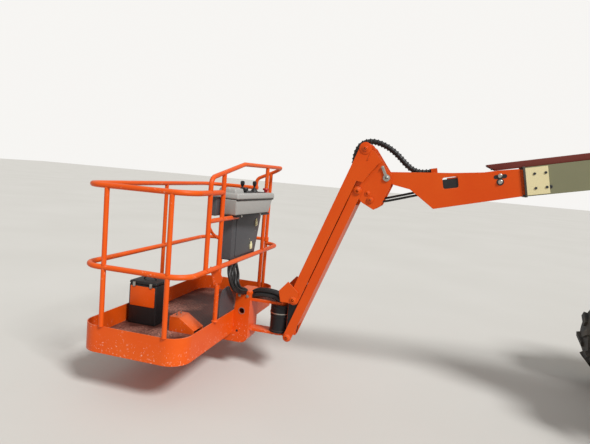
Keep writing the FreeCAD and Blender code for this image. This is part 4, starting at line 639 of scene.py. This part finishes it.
# Pivot pins. Each ends in a zinc-plated head outside its cheek plate, on both sides, with a grease nipple. Bars
# bolted to the plates keep the nose pin and the boom's main pin from turning.
# The jib's lower ones are painted over.
# Columns: body that holds the pin, its place, half its length, head radius.
riser_foot, riser_head = pin["riser_lift"], pin["riser_knuckle_level"]
link_up = pin["riser_lower_link_turn"] - riser_foot
bracket_pin = nose_pin + Vector((0.097, 0, -0.164))
jib_top, jib_low = pin["jib_lift"], pin["jib_lower_turn"]
end_top = pin["jib_end_level"]
end_low = end_top + jib_low - jib_top
PINS = [
    ("jib_bracket", nose_pin, 0.093, 0.019),
    ("turntable", riser_foot, 0.145, 0.030), ("turntable", riser_foot + link_up, 0.145, 0.026),
    ("riser_knuckle", riser_head, 0.145, 0.030), ("riser_knuckle", riser_head + link_up, 0.145, 0.026),
    ("riser_knuckle", pin["riser_upper_arm_turn"], 0.145, 0.030),
    ("riser_knuckle", pin["riser_upper_arm_turn"] + link_up, 0.145, 0.026),
    ("upright", pin["upright_level"], 0.145, 0.030), ("upright", pin["upright_level"] + link_up, 0.145, 0.026),
    ("upright", pin["boom_lift_barrel_turn"], 0.145, 0.028), ("upright", pin["boom_lift"], 0.145, 0.040),
]
PAINTED_PINS = [
    ("jib_bracket", bracket_pin, 0.093, 0.018), ("jib_bracket", bracket_pin + Vector((0.026, 0, 0.044)), 0.086, 0.016),
    ("jib_bracket", jib_top, 0.117, 0.018), ("jib_bracket", jib_low, 0.104, 0.020),
    ("jib_end", end_top, 0.124, 0.021), ("jib_end", end_low, 0.104, 0.021),
]
# Columns: body, pin, place along y, length, its lean forwards from upright in radians
KEEPERS = [("jib_bracket", nose_pin, 0.086, 0.088, 0.43),
           ("upright", pin["boom_lift"], 0.145, 0.105, -0.6), ("turntable", riser_foot, 0.145, 0.075, 0.4)]


def pin_head(bm, place, radius):
    """The end of a pivot pin: washer, stepped boss and grease nipple."""
    high = radius * 0.42
    turned(bm, place, [(radius * 1.3, 0), (radius * 1.3, high * 0.35), (radius * 1.02, high * 0.4),
                       (radius, high * 0.86), (radius * 0.88, high)])
    turned(bm, place @ Matrix.Translation((0, 0, high)), [(0.005, 0), (0.005, 0.003), (0.0025, 0.004), (0.0025, 0.007)],
           12)


heads = {body: bmesh.new() for body, *_ in PINS}
for body, point, half, radius in PINS:
    for hand in (NEAR, FAR):
        pin_head(heads[body], side_frame(hand, half, point.x, point.z), radius)
for body, point, half, reach, lean in KEEPERS:
    for hand in (NEAR, FAR):
        bar = side_frame(hand, half, point.x, point.z) @ Matrix.Rotation(-lean, 4, "Z")
        panel(heads[body], bar @ Matrix.Translation((0, reach / 2, 0)), 0.020, reach, 0.012, 0.009, 0.002)
        bolt(heads[body], bar @ Matrix.Translation((0, reach - 0.010, 0.012)), 0.008)
for body, bm in heads.items():
    make_piece(f"pin_heads_{body}", bm, zinc_steel, body)
heads = {body: bmesh.new() for body, *_ in PAINTED_PINS}
for body, point, half, radius in PAINTED_PINS:
    for hand in (NEAR, FAR):
        pin_head(heads[body], side_frame(hand, half, point.x, point.z), radius)
for body, bm in heads.items():
    make_piece(f"painted_pin_heads_{body}", bm, orange_enamel, body)


# Hydraulic cylinders. Painted barrels with a threaded gland at the rod's end, two welded ports and a steel pipe
# from the rear port to the front one. The rods are hard chromed.
# Columns: name, its barrel's foot, its direction, barrel radius, place of the barrel's mouth, side of its ports
CYLINDERS = [
    ("riser", pin["riser_barrel_turn"], Vector(joint["riser_rod_slide"]["axis"]), 0.040, 0.928, 1),
    ("boom_lift", pin["boom_lift_barrel_turn"], Vector(joint["boom_lift_rod_slide"]["axis"]), 0.050, 0.845, 1),
    ("jib_lift", pin["jib_lift_barrel_turn"], Vector(joint["jib_lift_rod_slide"]["axis"]), 0.026, 0.754, 1),
]


chromed_steel = plain_metal("hard_chromed_steel", "D4D6D8", 0.12, 60, "B9BCC0")
for name, foot, ahead, bore, mouth, side in CYLINDERS:
    gland, pipe = bmesh.new(), bmesh.new()
    axis = facing(foot, ahead)
    turned(gland, axis, [(bore * 0.72, mouth - 0.001), (bore * 1.09, mouth - 0.026), (bore * 1.09, mouth - 0.004),
                         (bore * 1.02, mouth)][1:], 36)
    square = axis.to_3x3() @ Vector((0, side, 0))
    square = square if square.z > 0 else -square
    for along in (bore + 0.075, mouth - 0.055):
        spot = facing(foot + ahead * along + square * bore * 0.9, square)
        turned(gland, spot, [(0.013, 0), (0.013, 0.014)], 20)
        turned(pipe, spot, [(0.0105, 0.014), (0.0105, 0.022)], 6)
    lift = bore + 0.022
    run = [foot + ahead * along + square * up for along, up in (
        (bore + 0.075, bore + 0.008), (bore + 0.075, lift), (bore + 0.12, lift + 0.002), (mouth - 0.12, lift + 0.002),
        (mouth - 0.055, lift), (mouth - 0.055, bore + 0.008))]
    tube(pipe, run, 0.005)
    make_piece(f"{name}_gland", gland, charcoal_enamel, f"{name}_barrel")
    make_piece(f"{name}_pipe", pipe, zinc_steel, f"{name}_barrel")


# Main boom. An olive-cream box tube. Cream plates bolted over the wear pads close its mouth, and a tray on top carries
# the telescope's hoses, which show as black ends under its front. The tray's orange paint is drawn dark red: painted
# shade.
MOUTH_BACK = -0.882
PAD_BOLTS = [(-0.058, 0.047), (-0.124, 0.047), (-0.058, -0.047), (-0.124, -0.047)]
LUG_PIN = (1.200, -0.150)
boom_frame = beam_frame(pin["boom_lift"], boom_ahead)
olive_enamel = sprayed_enamel("olive_cream_enamel", "7C7B60", "88866B", "A8A48D", 0.0)
# The tray's dark red is its orange paint with painted shade in it; its fading, scuffs and dust are wear.
tray_shade_enamel = sprayed_enamel("tray_orange_in_painted_shade", "6F322B", "84463E", "A8897E", 0.02)


def on_side(base, hand, along, y, up):
    """A placing on the side of a beam: x along the beam, y square to it, z outwards."""
    return base @ Matrix.Translation((along, y * hand, up)) @ side_frame(hand, 0)


TRAY_SPAN, TRAY_FLANGE = (-1.990, -0.664), (-0.034, 0.009)
bolts, hoses, mouth_frame, dark_bolts, flanges = (bmesh.new() for _ in range(5))
for hand in (NEAR, FAR):
    for along, up in PAD_BOLTS:
        spot = on_side(nose_frame, hand, MOUTH_BACK + along, 0.088, up - 0.130)
        turned(dark_bolts, spot, [(0.0085, 0), (0.0085, 0.004), (0.004, 0.0045), (0.004, 0.002)], 18)
    ringed = on_side(nose_frame, hand, MOUTH_BACK - 0.146, 0.080, -0.047 - 0.130)
    turned(dark_bolts, ringed, [(0.012, 0), (0.012, 0.004), (0.008, 0.005), (0.008, 0.002)], 20)
    pin_head(bolts, on_side(boom_frame, hand, LUG_PIN[0], 0.058, LUG_PIN[1]), 0.026)
    turned(bolts, on_side(boom_frame, hand, 0, 0.080, 0), [(0.062, 0), (0.062, 0.010), (0.050, 0.012)], 40)
    back, ahead, low, high = *TRAY_SPAN, *TRAY_FLANGE
    plate(flanges, on_side(nose_frame, hand, 0, 0.045, 0), [(back, low), (ahead - 0.050, low), (ahead, high - 0.010),
                                                            (ahead, high), (back, high)], 0.003, 0.0, 0.001)
    block(mouth_frame, nose_frame @ Matrix.Translation((MOUTH_BACK + 0.001, 0.084 * hand, -0.130)),
          (0.014, 0.010, 0.196), 0.002)
for rise in (0.1, -0.1):
    block(mouth_frame, nose_frame @ Matrix.Translation((MOUTH_BACK + 0.001, 0, rise * 0.95 - 0.130)),
          (0.014, 0.166, 0.012), 0.002)
for across in (-0.030, -0.010, 0.010, 0.030):
    route = [nose_frame @ Vector((along, across, up)) for along, up in (
        (-1.900, -0.016), (-1.200, -0.016), (-0.860, -0.016), (-0.780, -0.012), (-0.720, -0.016), (-0.690, -0.019))]
    tube(hoses, route, 0.0092)
make_piece("pad_bolts", dark_bolts, charcoal_enamel, "main_boom")
make_piece("boom_bosses", bolts, zinc_steel, "main_boom")
make_piece("boom_mouth_seal", mouth_frame, tyre_rubber, "main_boom")
make_piece("boom_top_hoses", hoses, hose_rubber, "main_boom", 50)
make_piece("hose_tray_flanges_in_painted_shade", flanges, tray_shade_enamel, "main_boom")


# Boom nose. Two orange side plates welded to the inner boom. Behind the window each has a slot with a stop pin and a
# round boss under it; the slot is a black sheet of painted shade for its hollow. A black sheet just inside each window
# is painted shade for the boom's dark inside. The clamp on the far side holds the jib hoses.
# Places run from the nose pin, along the boom and square to it.
NOSE_FACE = 0.074
SLOT_AT, BOSS_AT = (-0.736, -0.078), (-0.732, -0.113)
WINDOW = (-0.470, -0.370, -0.120, -0.042)
CORNER_FILL = 0.017


INNER_HOSES = [(-0.700, -0.100), (-0.560, -0.094), (-0.420, -0.088), (-0.330, -0.090), (-0.270, -0.104)]
slots, bosses, fillets, clamp_bolts, inner_hoses = (bmesh.new() for _ in range(5))
for across in (-0.045, -0.015, 0.015, 0.045):
    for rise in (-0.018, 0.016):
        tube(inner_hoses, [nose_frame @ Vector((along, across, up + rise)) for along, up in INNER_HOSES], 0.015)
WINDOW_GAP = 0.014
for hand in (NEAR, FAR):
    side = on_side(nose_frame, hand, SLOT_AT[0], NOSE_FACE, SLOT_AT[1])
    # The slot is drawn as a black sheet: painted shade for its hollow.
    panel(slots, side, 0.082, 0.026, 0.0016, 0.0125)
    turned(bosses, side @ Matrix.Translation((0.002, 0.006, 0.001)), [(0.014, 0), (0.014, 0.006), (0.010, 0.009)], 24)
    boss = on_side(nose_frame, hand, BOSS_AT[0], NOSE_FACE, BOSS_AT[1])
    turned(slots, boss, [(0.023, 0), (0.023, 0.002), (0.019, 0.003)], 28)
    turned(bosses, boss @ Matrix.Translation((0, 0, 0.002)), [(0.015, 0), (0.015, 0.008), (0.011, 0.011)], 24)
    back, ahead, low, high = WINDOW
    # A black sheet just inside the window, open along its top 14 mm, is painted shade for the boom's dark inside.
    window_shade_sheet = on_side(nose_frame, hand, (back + ahead) / 2, NOSE_FACE - 0.009, (low + high - WINDOW_GAP) / 2)
    panel(slots, window_shade_sheet, ahead - back - 0.001, high - low - WINDOW_GAP, 0.001, 0.006)
    for x, y, turn in ((back, low, 0), (ahead, low, 90), (ahead, high, 180), (back, high, 270)):
        corner = on_side(nose_frame, hand, x, NOSE_FACE - 0.010, y) @ Matrix.Rotation(math.radians(turn), 4, "Z")
        plate(fillets, corner, [(0, 0), (CORNER_FILL, 0), (CORNER_FILL * 0.42, CORNER_FILL * 0.12),
                                (CORNER_FILL * 0.12, CORNER_FILL * 0.42), (0, CORNER_FILL)], 0.010)
for up in (0.018, -0.002):
    bolt(clamp_bolts, on_side(nose_frame, FAR, -0.322, 0.158, up + 0.002), 0.007)
make_piece("nose_slots_and_window_painted_shade", slots, black_plastic, "fly_boom")
make_piece("nose_bosses", bosses, zinc_steel, "fly_boom")
make_piece("nose_window_corners", fillets, orange_enamel, "fly_boom")
make_piece("clamp_bolts", clamp_bolts, zinc_steel, "fly_boom")
make_piece("nose_inner_hoses", inner_hoses, hose_rubber, "fly_boom", 50)


# Jib. Two box channels between the bracket and the end bracket. A rounded boss carries the upper arm's pin, and small
# stiffening plates are welded over the lower pins' eyes.
GROOVE = [(0.052, 0), (0.052, 0.003), (0.047, 0.005), (0.035, 0.005), (0.033, 0.002), (0.030, 0.002)]
jib_frame = beam_frame(jib_top, end_top - jib_top)
bosses, eyes = bmesh.new(), bmesh.new()
for hand in (NEAR, FAR):
    turned(bosses, on_side(jib_frame, hand, 0, 0.111, 0), [(0.041, 0), (0.041, 0.003), (0.036, 0.005)], 36)
    turned(bosses, on_side(jib_frame, hand, (end_top - jib_top).length, 0.111, 0), [(0.037, 0), (0.037, 0.002),
                                                                                   (0.034, 0.003)], 36)
    panel(bosses, on_side(jib_frame, hand, 0.040, 0.111, -0.048), 0.060, 0.008, 0.004, 0.003, 0.001)
    for point in (jib_low, end_low):
        turned(eyes, side_frame(hand, 0.098, point.x, point.z), [(0.029, 0), (0.029, 0.003), (0.026, 0.004)], 32)
make_piece("upper_arm_bosses", bosses, orange_enamel, "jib_upper_arm")
make_piece("lower_arm_bosses", eyes, orange_enamel, "jib_lower_arm")


# Rotator. A black cast housing between black cheeks, with a flange at each end, a ring of bolts and a bright wear
# ring near its top. Rubber hoses cross over it from the jib's end into the platform's column.
ROTATOR = [(0.078, 0.000), (0.078, 0.014), (0.075, 0.017), (0.075, 0.120), (0.078, 0.124), (0.078, 0.188),
           (0.075, 0.192), (0.078, 0.196), (0.078, 0.215)]
CHEEK_FACE = 0.0741
CROSSING = [(-0.004, 0.236), (0.014, 0.256), (0.070, 0.270), (0.150, 0.272), (0.215, 0.262), (0.252, 0.236)]
CROSSING_RADIUS = 0.017
black_casting = sprayed_enamel("black_enamel_on_cast_iron", "1B1B1D", "29292B", "6F6E6B", 0.01, gloss=0.34)
low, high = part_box("rotator")
foot = Vector(((low.x + high.x) / 2, (low.y + high.y) / 2, low.z))
housing, bolts = bmesh.new(), bmesh.new()
turned(housing, facing(foot, UP), ROTATOR, 48)
for k in range(12):
    angle = (k + 0.5) * math.tau / 12
    rim = foot + Vector((math.cos(angle), math.sin(angle), 0)) * 0.068
    bolt(bolts, facing(rim, -UP), 0.0045, angle)
turned(bolts, facing(foot + UP * 0.146, UP), [(0.078, 0), (0.0815, 0.001), (0.0815, 0.008), (0.078, 0.009)], 48, ring=True)
cheeks = [(-0.024, 0.000), (0.044, -0.050), (0.044, -0.290), (0.048, -0.322), (0.008, -0.322), (-0.004, -0.292)]
for hand in (NEAR, FAR):
    plate(housing, side_frame(hand, CHEEK_FACE, end_top.x, end_top.z), cheeks, 0.0015)
rotator_housing = make_piece("rotator_housing", housing, black_casting, "jib_end")
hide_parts("rotator")
make_piece("rotator_bolts", bolts, zinc_steel, "jib_end")
for name, across, layer in (("crossing_hose_a", -0.036, 0), ("crossing_hose_b", 0, 0), ("crossing_hose_c", 0.036, 0),
                            ("crossing_hose_d", -0.018, 1), ("crossing_hose_e", 0.018, 1)):
    route = [foot + Vector((along, across, up + layer * 0.028)) for along, up in CROSSING]
    line = smooth_line(route)
    bm = bmesh.new()
    tube(bm, route, CROSSING_RADIUS)
    hose = make_piece(name, bm, hose_rubber, None, 50)
    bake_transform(hose)


# Platform support. The orange column is a folded plate with a round hole, whose rim is worn bright, and bolted yoke
# plates hold the rotator between them. A small hole in each side is drawn as a black disc: painted shade.
COLUMN_SIDE = 0.092
HOLE_AT, SMALL_HOLE_AT = (2.4929, 0.480), (2.5210, 0.318)
basket_enamel = sprayed_enamel("basket_orange_enamel", "D94E0A", "E26119", "EDB299", 0.10, low_scuffs=(0.33, 0.44))
rims, hole_shade_discs, yoke_bolts = bmesh.new(), bmesh.new(), bmesh.new()
for hand in (NEAR, FAR):
    turned(rims, side_frame(hand, COLUMN_SIDE, *HOLE_AT), [(0.022, 0), (0.027, 0), (0.027, 0.002), (0.022, 0.002)], 32,
           ring=True)
    # A black disc on each side stands for the small hole: painted shade of its inside.
    turned(hole_shade_discs, side_frame(hand, COLUMN_SIDE, *SMALL_HOLE_AT), [(0.009, 0), (0.009, 0.0008)], 20)
    for x in (2.455, 2.520):
        bolt(yoke_bolts, side_frame(hand, COLUMN_SIDE, x, 0.600), 0.009, x)
for x, y in ((2.252, 0.034), (2.252, -0.034), (2.160, 0.034), (2.160, -0.034)):
    bolt(yoke_bolts, facing((x, y, 0.325), -UP), 0.008, x + y)
make_piece("column_hole_rims", rims, zinc_steel, "platform")
make_piece("column_small_holes_painted_shade", hole_shade_discs, black_plastic, "platform")
make_piece("yoke_bolts", yoke_bolts, zinc_steel, "platform")


# Platform floor. Steel tread plate in red-brown floor enamel. Boots have scrubbed it pink and bare in the middle.
# Its raised bars are drawn in the material, 28 mm long.
floor_low, floor_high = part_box("platform_floor")
FLOOR_TOP, FLOOR_INSET, FLOOR_CORNER = 0.350, 0.0065, 0.128


def tread_plate():
    material, tree, shader = new_material("red_brown_enamel_on_tread_plate")
    place = add_node(tree, "ShaderNodeTexCoord").outputs["Object"]
    rubbed = step(tree, noise(tree, place, 2.6, 4), 0.50, 0.64)
    flecks = step(tree, noise(tree, place, 60, 6, 0.7), 0.44, 0.6)
    share = combine(tree, "MULTIPLY", rubbed, step(tree, flecks, 0.0, 1.0, 0.2, 0.95))
    tree.links.new(blend_colours(tree, share, linear("48231A"), linear("BE8776")), shader.inputs["Base Color"])
    tree.links.new(step(tree, share, 0.0, 1.0, 0.55, 0.8), shader.inputs["Roughness"])
    # Two sets of short bars, square to each other, from the crossing of two waves
    turned_place = add_node(tree, "ShaderNodeMapping", {"Vector": place, "Rotation": (0, 0, math.radians(45))})
    bars = [add_node(tree, "ShaderNodeTexWave", {"Vector": turned_place.outputs[0], "Scale": 11.0},
                     bands_direction=way).outputs["Fac"] for way in ("X", "Y")]
    height = step(tree, combine(tree, "MULTIPLY", *bars), 0.45, 0.6)
    bump = add_node(tree, "ShaderNodeBump", {"Strength": 0.7, "Distance": 0.0015, "Height": height})
    tree.links.new(bump.outputs[0], shader.inputs["Normal"])
    return material


walked_enamel = tread_plate()
bm = bmesh.new()
middle = (floor_low + floor_high) / 2
panel(bm, facing((middle.x, middle.y, FLOOR_TOP), UP), floor_high.x - floor_low.x - 2 * FLOOR_INSET,
      floor_high.y - floor_low.y - 2 * FLOOR_INSET, 0.0015, FLOOR_CORNER)
make_piece("tread_floor", bm, walked_enamel, "platform")


# Console. A grey moulded box on the short rail and the middle of the guard hoop: a body that narrows downwards, a
# lid with a dark seam, a scuffed raised part at the near end, and the levers and switches on top.
console_low, console_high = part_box("console")
console_middle = (console_low + console_high) / 2
console_frame = Matrix.Translation(console_middle) @ Matrix.Rotation(math.radians(-7), 4, "Z")
CONSOLE_DEEP, CONSOLE_LONG, CONSOLE_TALL, LID_TALL = 0.240, 0.610, 0.165, 0.044
grey_plastic = moulded_plastic("grey_moulded_abs", "A0A09C", "C8C5BF", 700, 0.9)


body, lid, seam, controls, switches, stop = (bmesh.new() for _ in range(6))
base_z = -CONSOLE_TALL / 2
block(body, console_frame @ Matrix.Translation((0.006, 0.006, base_z + (CONSOLE_TALL - LID_TALL) / 2)) @
      Matrix.Rotation(math.pi, 4, "X"), (CONSOLE_DEEP - 0.012, CONSOLE_LONG - 0.016, CONSOLE_TALL - LID_TALL - 0.006),
      0.010, 3, top=(0.88, 0.90))
block(seam, console_frame @ Matrix.Translation((0, 0, base_z + CONSOLE_TALL - LID_TALL - 0.003)),
      (CONSOLE_DEEP - 0.014, CONSOLE_LONG - 0.014, 0.012), 0.002)
block(seam, console_frame @ Matrix.Translation((0, 0, base_z - 0.004)), (CONSOLE_DEEP * 0.84, CONSOLE_LONG * 0.86, 0.014),
      0.002)
block(lid, console_frame @ Matrix.Translation((0, 0, base_z + CONSOLE_TALL - LID_TALL / 2)),
      (CONSOLE_DEEP, CONSOLE_LONG, LID_TALL), 0.012, 3, top=(0.97, 0.985))
top_z = base_z + CONSOLE_TALL
block(lid, console_frame @ Matrix.Translation((-0.010, 0.215, top_z + 0.012)), (0.150, 0.130, 0.040), 0.010, 3,
      top=(0.9, 0.88))
panel(controls, console_frame @ Matrix.Translation((0.010, -0.06, top_z)), 0.17, 0.36, 0.003, 0.012, 0.001)
for y in (0.02, -0.18):
    stick = console_frame @ Matrix.Translation((0.01, y, top_z + 0.003))
    turned(controls, stick, [(0.030, 0), (0.028, 0.006), (0.024, 0.009), (0.022, 0.015), (0.017, 0.018),
                             (0.015, 0.024), (0.009, 0.028), (0.007, 0.040), (0.013, 0.048), (0.017, 0.062),
                             (0.016, 0.076), (0.009, 0.083)], 28)
for k, y in enumerate((-0.10, -0.075, -0.05, 0.085, 0.11)):
    spot = console_frame @ Matrix.Translation((0.055, y, top_z + 0.003))
    turned(switches, spot, [(0.008, 0), (0.008, 0.004), (0.005, 0.005), (0.005, 0.009)], 16)
    turned(switches, spot @ Matrix.Rotation(0.4 if k % 2 else -0.4, 4, "Y"), [(0.0025, 0.006), (0.0035, 0.026)], 12)
turned(stop, console_frame @ Matrix.Translation((-0.05, -0.27, top_z)), [(0.014, 0), (0.014, 0.016), (0.024, 0.018),
                                                                     (0.026, 0.026), (0.022, 0.034)], 28)
turned(controls, console_frame @ Matrix.Translation((-0.06, 0.10, top_z)), [(0.012, 0), (0.012, 0.012), (0.022, 0.016),
                                                                          (0.024, 0.030), (0.018, 0.040)], 28)
for y in (0.20, -0.10):
    bolt(switches, on_side(console_frame @ Matrix.Rotation(math.pi / 2, 4, "Z"), NEAR, y, CONSOLE_DEEP * 0.42,
                           base_z - 0.004), 0.006)
console_body = make_piece("console_body", body, grey_plastic, "platform")
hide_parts("console")
make_piece("console_lid", lid, grey_plastic, "platform")
make_piece("console_seams", seam, black_plastic, "platform")
make_piece("console_levers", controls, black_plastic, "platform")
make_piece("console_switches", switches, zinc_steel, "platform")
make_piece("console_stop", stop, red_plastic, "platform")


# Locker. A dark polypropylene box hung under the console: its far end slopes inwards, and its lid on the jib's side is
# held by two pale yellow rubber latches.
locker_low, locker_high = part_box("console_locker")
yellow_plastic = moulded_plastic("pale_yellow_moulded_nylon", "E0DBAC", "F0EDD2", 700, 0.4)
LOCKER_DEEP = 0.108
case, lid_panel, latches, dots = (bmesh.new() for _ in range(4))
jib_side = Matrix(((0, 0, -1, locker_low.x), (-1, 0, 0, 0), (0, 1, 0, 0), (0, 0, 0, 1)))
outline = [(-locker_high.y, locker_high.z), (-locker_high.y, locker_low.z + 0.010), (-locker_low.y - 0.125, locker_low.z),
           (-locker_low.y, locker_high.z)]
plate(case, jib_side @ Matrix.Translation((0, 0, -LOCKER_DEEP)), outline, LOCKER_DEEP, 0.010, 0.004)
inner = [(-locker_high.y + 0.075, locker_high.z - 0.018), (-locker_high.y + 0.075, locker_low.z + 0.030),
         (-locker_low.y - 0.142, locker_low.z + 0.022), (-locker_low.y - 0.022, locker_high.z - 0.018)]
plate(lid_panel, jib_side, inner, 0.005, 0.010, 0.0015)
for y, z, lean in ((-0.283, 1.127, 0.25), (-0.194, 0.943, 0.12)):
    place = jib_side @ Matrix.Translation((-y, z, 0.005)) @ Matrix.Rotation(lean, 4, "Z")
    block(latches, place @ Matrix.Translation((0, 0, 0.006)), (0.040, 0.046, 0.012), 0.004, 2, top=(0.8, 0.9))
    block(latches, place @ Matrix.Translation((0.004, 0.030, 0.004)), (0.024, 0.018, 0.008), 0.003)
for y, z in ((-0.27, 1.065), (-0.16, 1.005)):
    turned(dots, jib_side @ Matrix.Translation((-y, z, 0.005)), [(0.006, 0), (0.006, 0.003), (0.004, 0.004)], 16)
locker = make_piece("locker_case", case, dark_plastic, "platform")
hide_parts("console_locker")
make_piece("locker_lid", lid_panel, dark_plastic, "platform")
make_piece("locker_latches", latches, yellow_plastic, "platform")
make_piece("locker_studs", dots, zinc_steel, "platform")


# Tool box and foot switch. The tool box is black with an orange upper panel. The foot switch sits under an orange
# folded guard, open towards the standing room, with its bright lever on top.
box_low, box_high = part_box("tool_box")
switch_low, switch_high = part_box("foot_switch")
case, front_panel, guard, pedal, fittings = (bmesh.new() for _ in range(5))
size, middle = box_high - box_low, (box_high + box_low) / 2
block(case, Matrix.Translation(middle - UP * 0.014), (size.x, size.y, size.z - 0.028), 0.008, 3)
block(case, Matrix.Translation((middle.x, middle.y, box_high.z - 0.016)), (size.x, size.y, 0.026), 0.009, 3)
panel(front_panel, side_frame(NEAR, box_high.y, middle.x, box_high.z - 0.115), size.x - 0.024, 0.150, 0.003, 0.008, 0.001)
tube(case, [(middle.x - 0.05, middle.y, box_high.z - 0.006), (middle.x - 0.05, middle.y, box_high.z + 0.022),
            (middle.x + 0.05, middle.y, box_high.z + 0.022), (middle.x + 0.05, middle.y, box_high.z - 0.006)], 0.006)
for x in (-0.07, 0.07):
    block(fittings, Matrix.Translation((middle.x + x, box_high.y + 0.005, box_high.z - 0.028)), (0.022, 0.008, 0.036), 0.002)
size, middle = switch_high - switch_low, (switch_high + switch_low) / 2
for y in (switch_low.y + 0.003, switch_high.y - 0.003):
    wedge = Matrix.Translation((switch_low.x, y - 0.003, switch_low.z)) @ Matrix.Rotation(math.pi / 2, 4, "X")
    plate(guard, wedge @ Matrix.Scale(-1, 4, (0, 0, 1)), [(0, 0), (size.x, 0), (size.x, size.z), (size.x - 0.075, size.z),
                                                          (0, 0.030)], 0.006, 0.008, 0.001)
slope = math.atan2(size.z - 0.030, size.x - 0.075)
panel(guard, Matrix.Translation((switch_low.x + (size.x - 0.075) / 2, middle.y, (switch_high.z + switch_low.z + 0.022) / 2))
      @ Matrix.Rotation(-slope, 4, "Y"), math.hypot(size.z - 0.030, size.x - 0.075), size.y - 0.001, 0.004, 0.0, 0.001)
panel(guard, Matrix.Translation((switch_high.x - 0.038, middle.y, switch_high.z - 0.0035)), 0.077, size.y - 0.001, 0.004)
block(guard, Matrix.Translation((switch_high.x - 0.0035, middle.y, middle.z)), (0.006, size.y - 0.013, size.z - 0.009), 0.001)
block(pedal, Matrix.Translation((switch_high.x - 0.075, middle.y, switch_low.z + 0.026)), (0.11, 0.11, 0.036), 0.006)
for y in (-0.03, 0.03):
    turned(fittings, facing((switch_high.x - 0.036, middle.y + y, switch_high.z), UP), [(0.007, 0), (0.007, 0.010),
                                                                                       (0.004, 0.012), (0.004, 0.022)], 16)
tool_case = make_piece("tool_box_case", case, black_plastic, "platform")
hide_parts("tool_box")
make_piece("tool_box_panel", front_panel, basket_enamel, "platform")
switch_guard = make_piece("foot_switch_guard", guard, basket_enamel, "platform")
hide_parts("foot_switch")
make_piece("foot_switch_pedal", pedal, black_plastic, "platform")
make_piece("platform_box_fittings", fittings, zinc_steel, "platform")


# Platform fittings. A dark rubber panel stands inside the toe board beside the near post, a brace carries the short
# rail, a narrow dark box hangs at the hoop's near leg, and collars sit where the posts pass the middle rail.
FLAP = [(0.203, 0.694), (0.082, 0.550), (0.110, 0.440), (0.362, 0.440), (0.364, 0.593), (0.327, 0.681)]
rail_low, rail_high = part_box("mid_rail")
rail_x = rail_low.x + 0.0306
flap, brace, side_box, collars = (bmesh.new() for _ in range(4))
flap_place = Matrix(((0, 0, 1, 2.5625), (1, 0, 0, 0), (0, 1, 0, 0), (0, 0, 0, 1)))
plate(flap, flap_place, FLAP, 0.006, 0.03, 0.0015)
block(side_box, Matrix.Translation((2.600, 0.462, 1.300)), (0.050, 0.085, 0.130), 0.008, 3)
tube(brace, [(rail_x, 0.640, 1.200), (rail_x, 0.600, 1.160), (rail_x, 0.540, 1.110), (rail_x, 0.460, 1.080)], 0.010)
for x, y in ((2.5559, 0.445), (2.5559, -0.445)):
    turned(collars, facing((x, y, 0.480), UP), [(0.024, 0), (0.024, 0.006), (0.017, 0.012)], 24)
make_piece("toe_board_flap", flap, dark_plastic, "platform")
make_piece("hoop_box", side_box, dark_plastic, "platform")
make_piece("short_rail_brace", brace, basket_enamel, "platform")
make_piece("post_collars", collars, basket_enamel, "platform")


# Finishes of the CAD model's own parts, by the record's slots. The boom, its tray and the platform differ.
FINISHES = {
    "orange_paint": orange_enamel, "cream_paint": cream_enamel, "dark_paint": charcoal_enamel,
    "chrome_rod": chromed_steel, "bearing_steel": zinc_steel, "tyre_rubber": tyre_rubber,
    "grey_plastic": grey_plastic, "dark_plastic": dark_plastic, "hose_rubber": hose_rubber,
}
# The hose tray's finish holds painted shade: its orange paint drawn dark red.
OWN_FINISHES = {"main_boom": olive_enamel, "hose_tray": tray_shade_enamel, "rotator": black_casting}
OWN_FINISHES.update({name: basket_enamel for name in (
    "platform_floor", "top_rail", "mid_rail", "guard_hoop", "platform_posts", "platform_support", "entry_bar")})
for part in frame["record"]["subparts"]:
    solid = frame["nodes"][part["node"]]
    solid.data.materials.clear()
    solid.data.materials.append(OWN_FINISHES.get(part["node"], FINISHES[part["material_slot"]]))
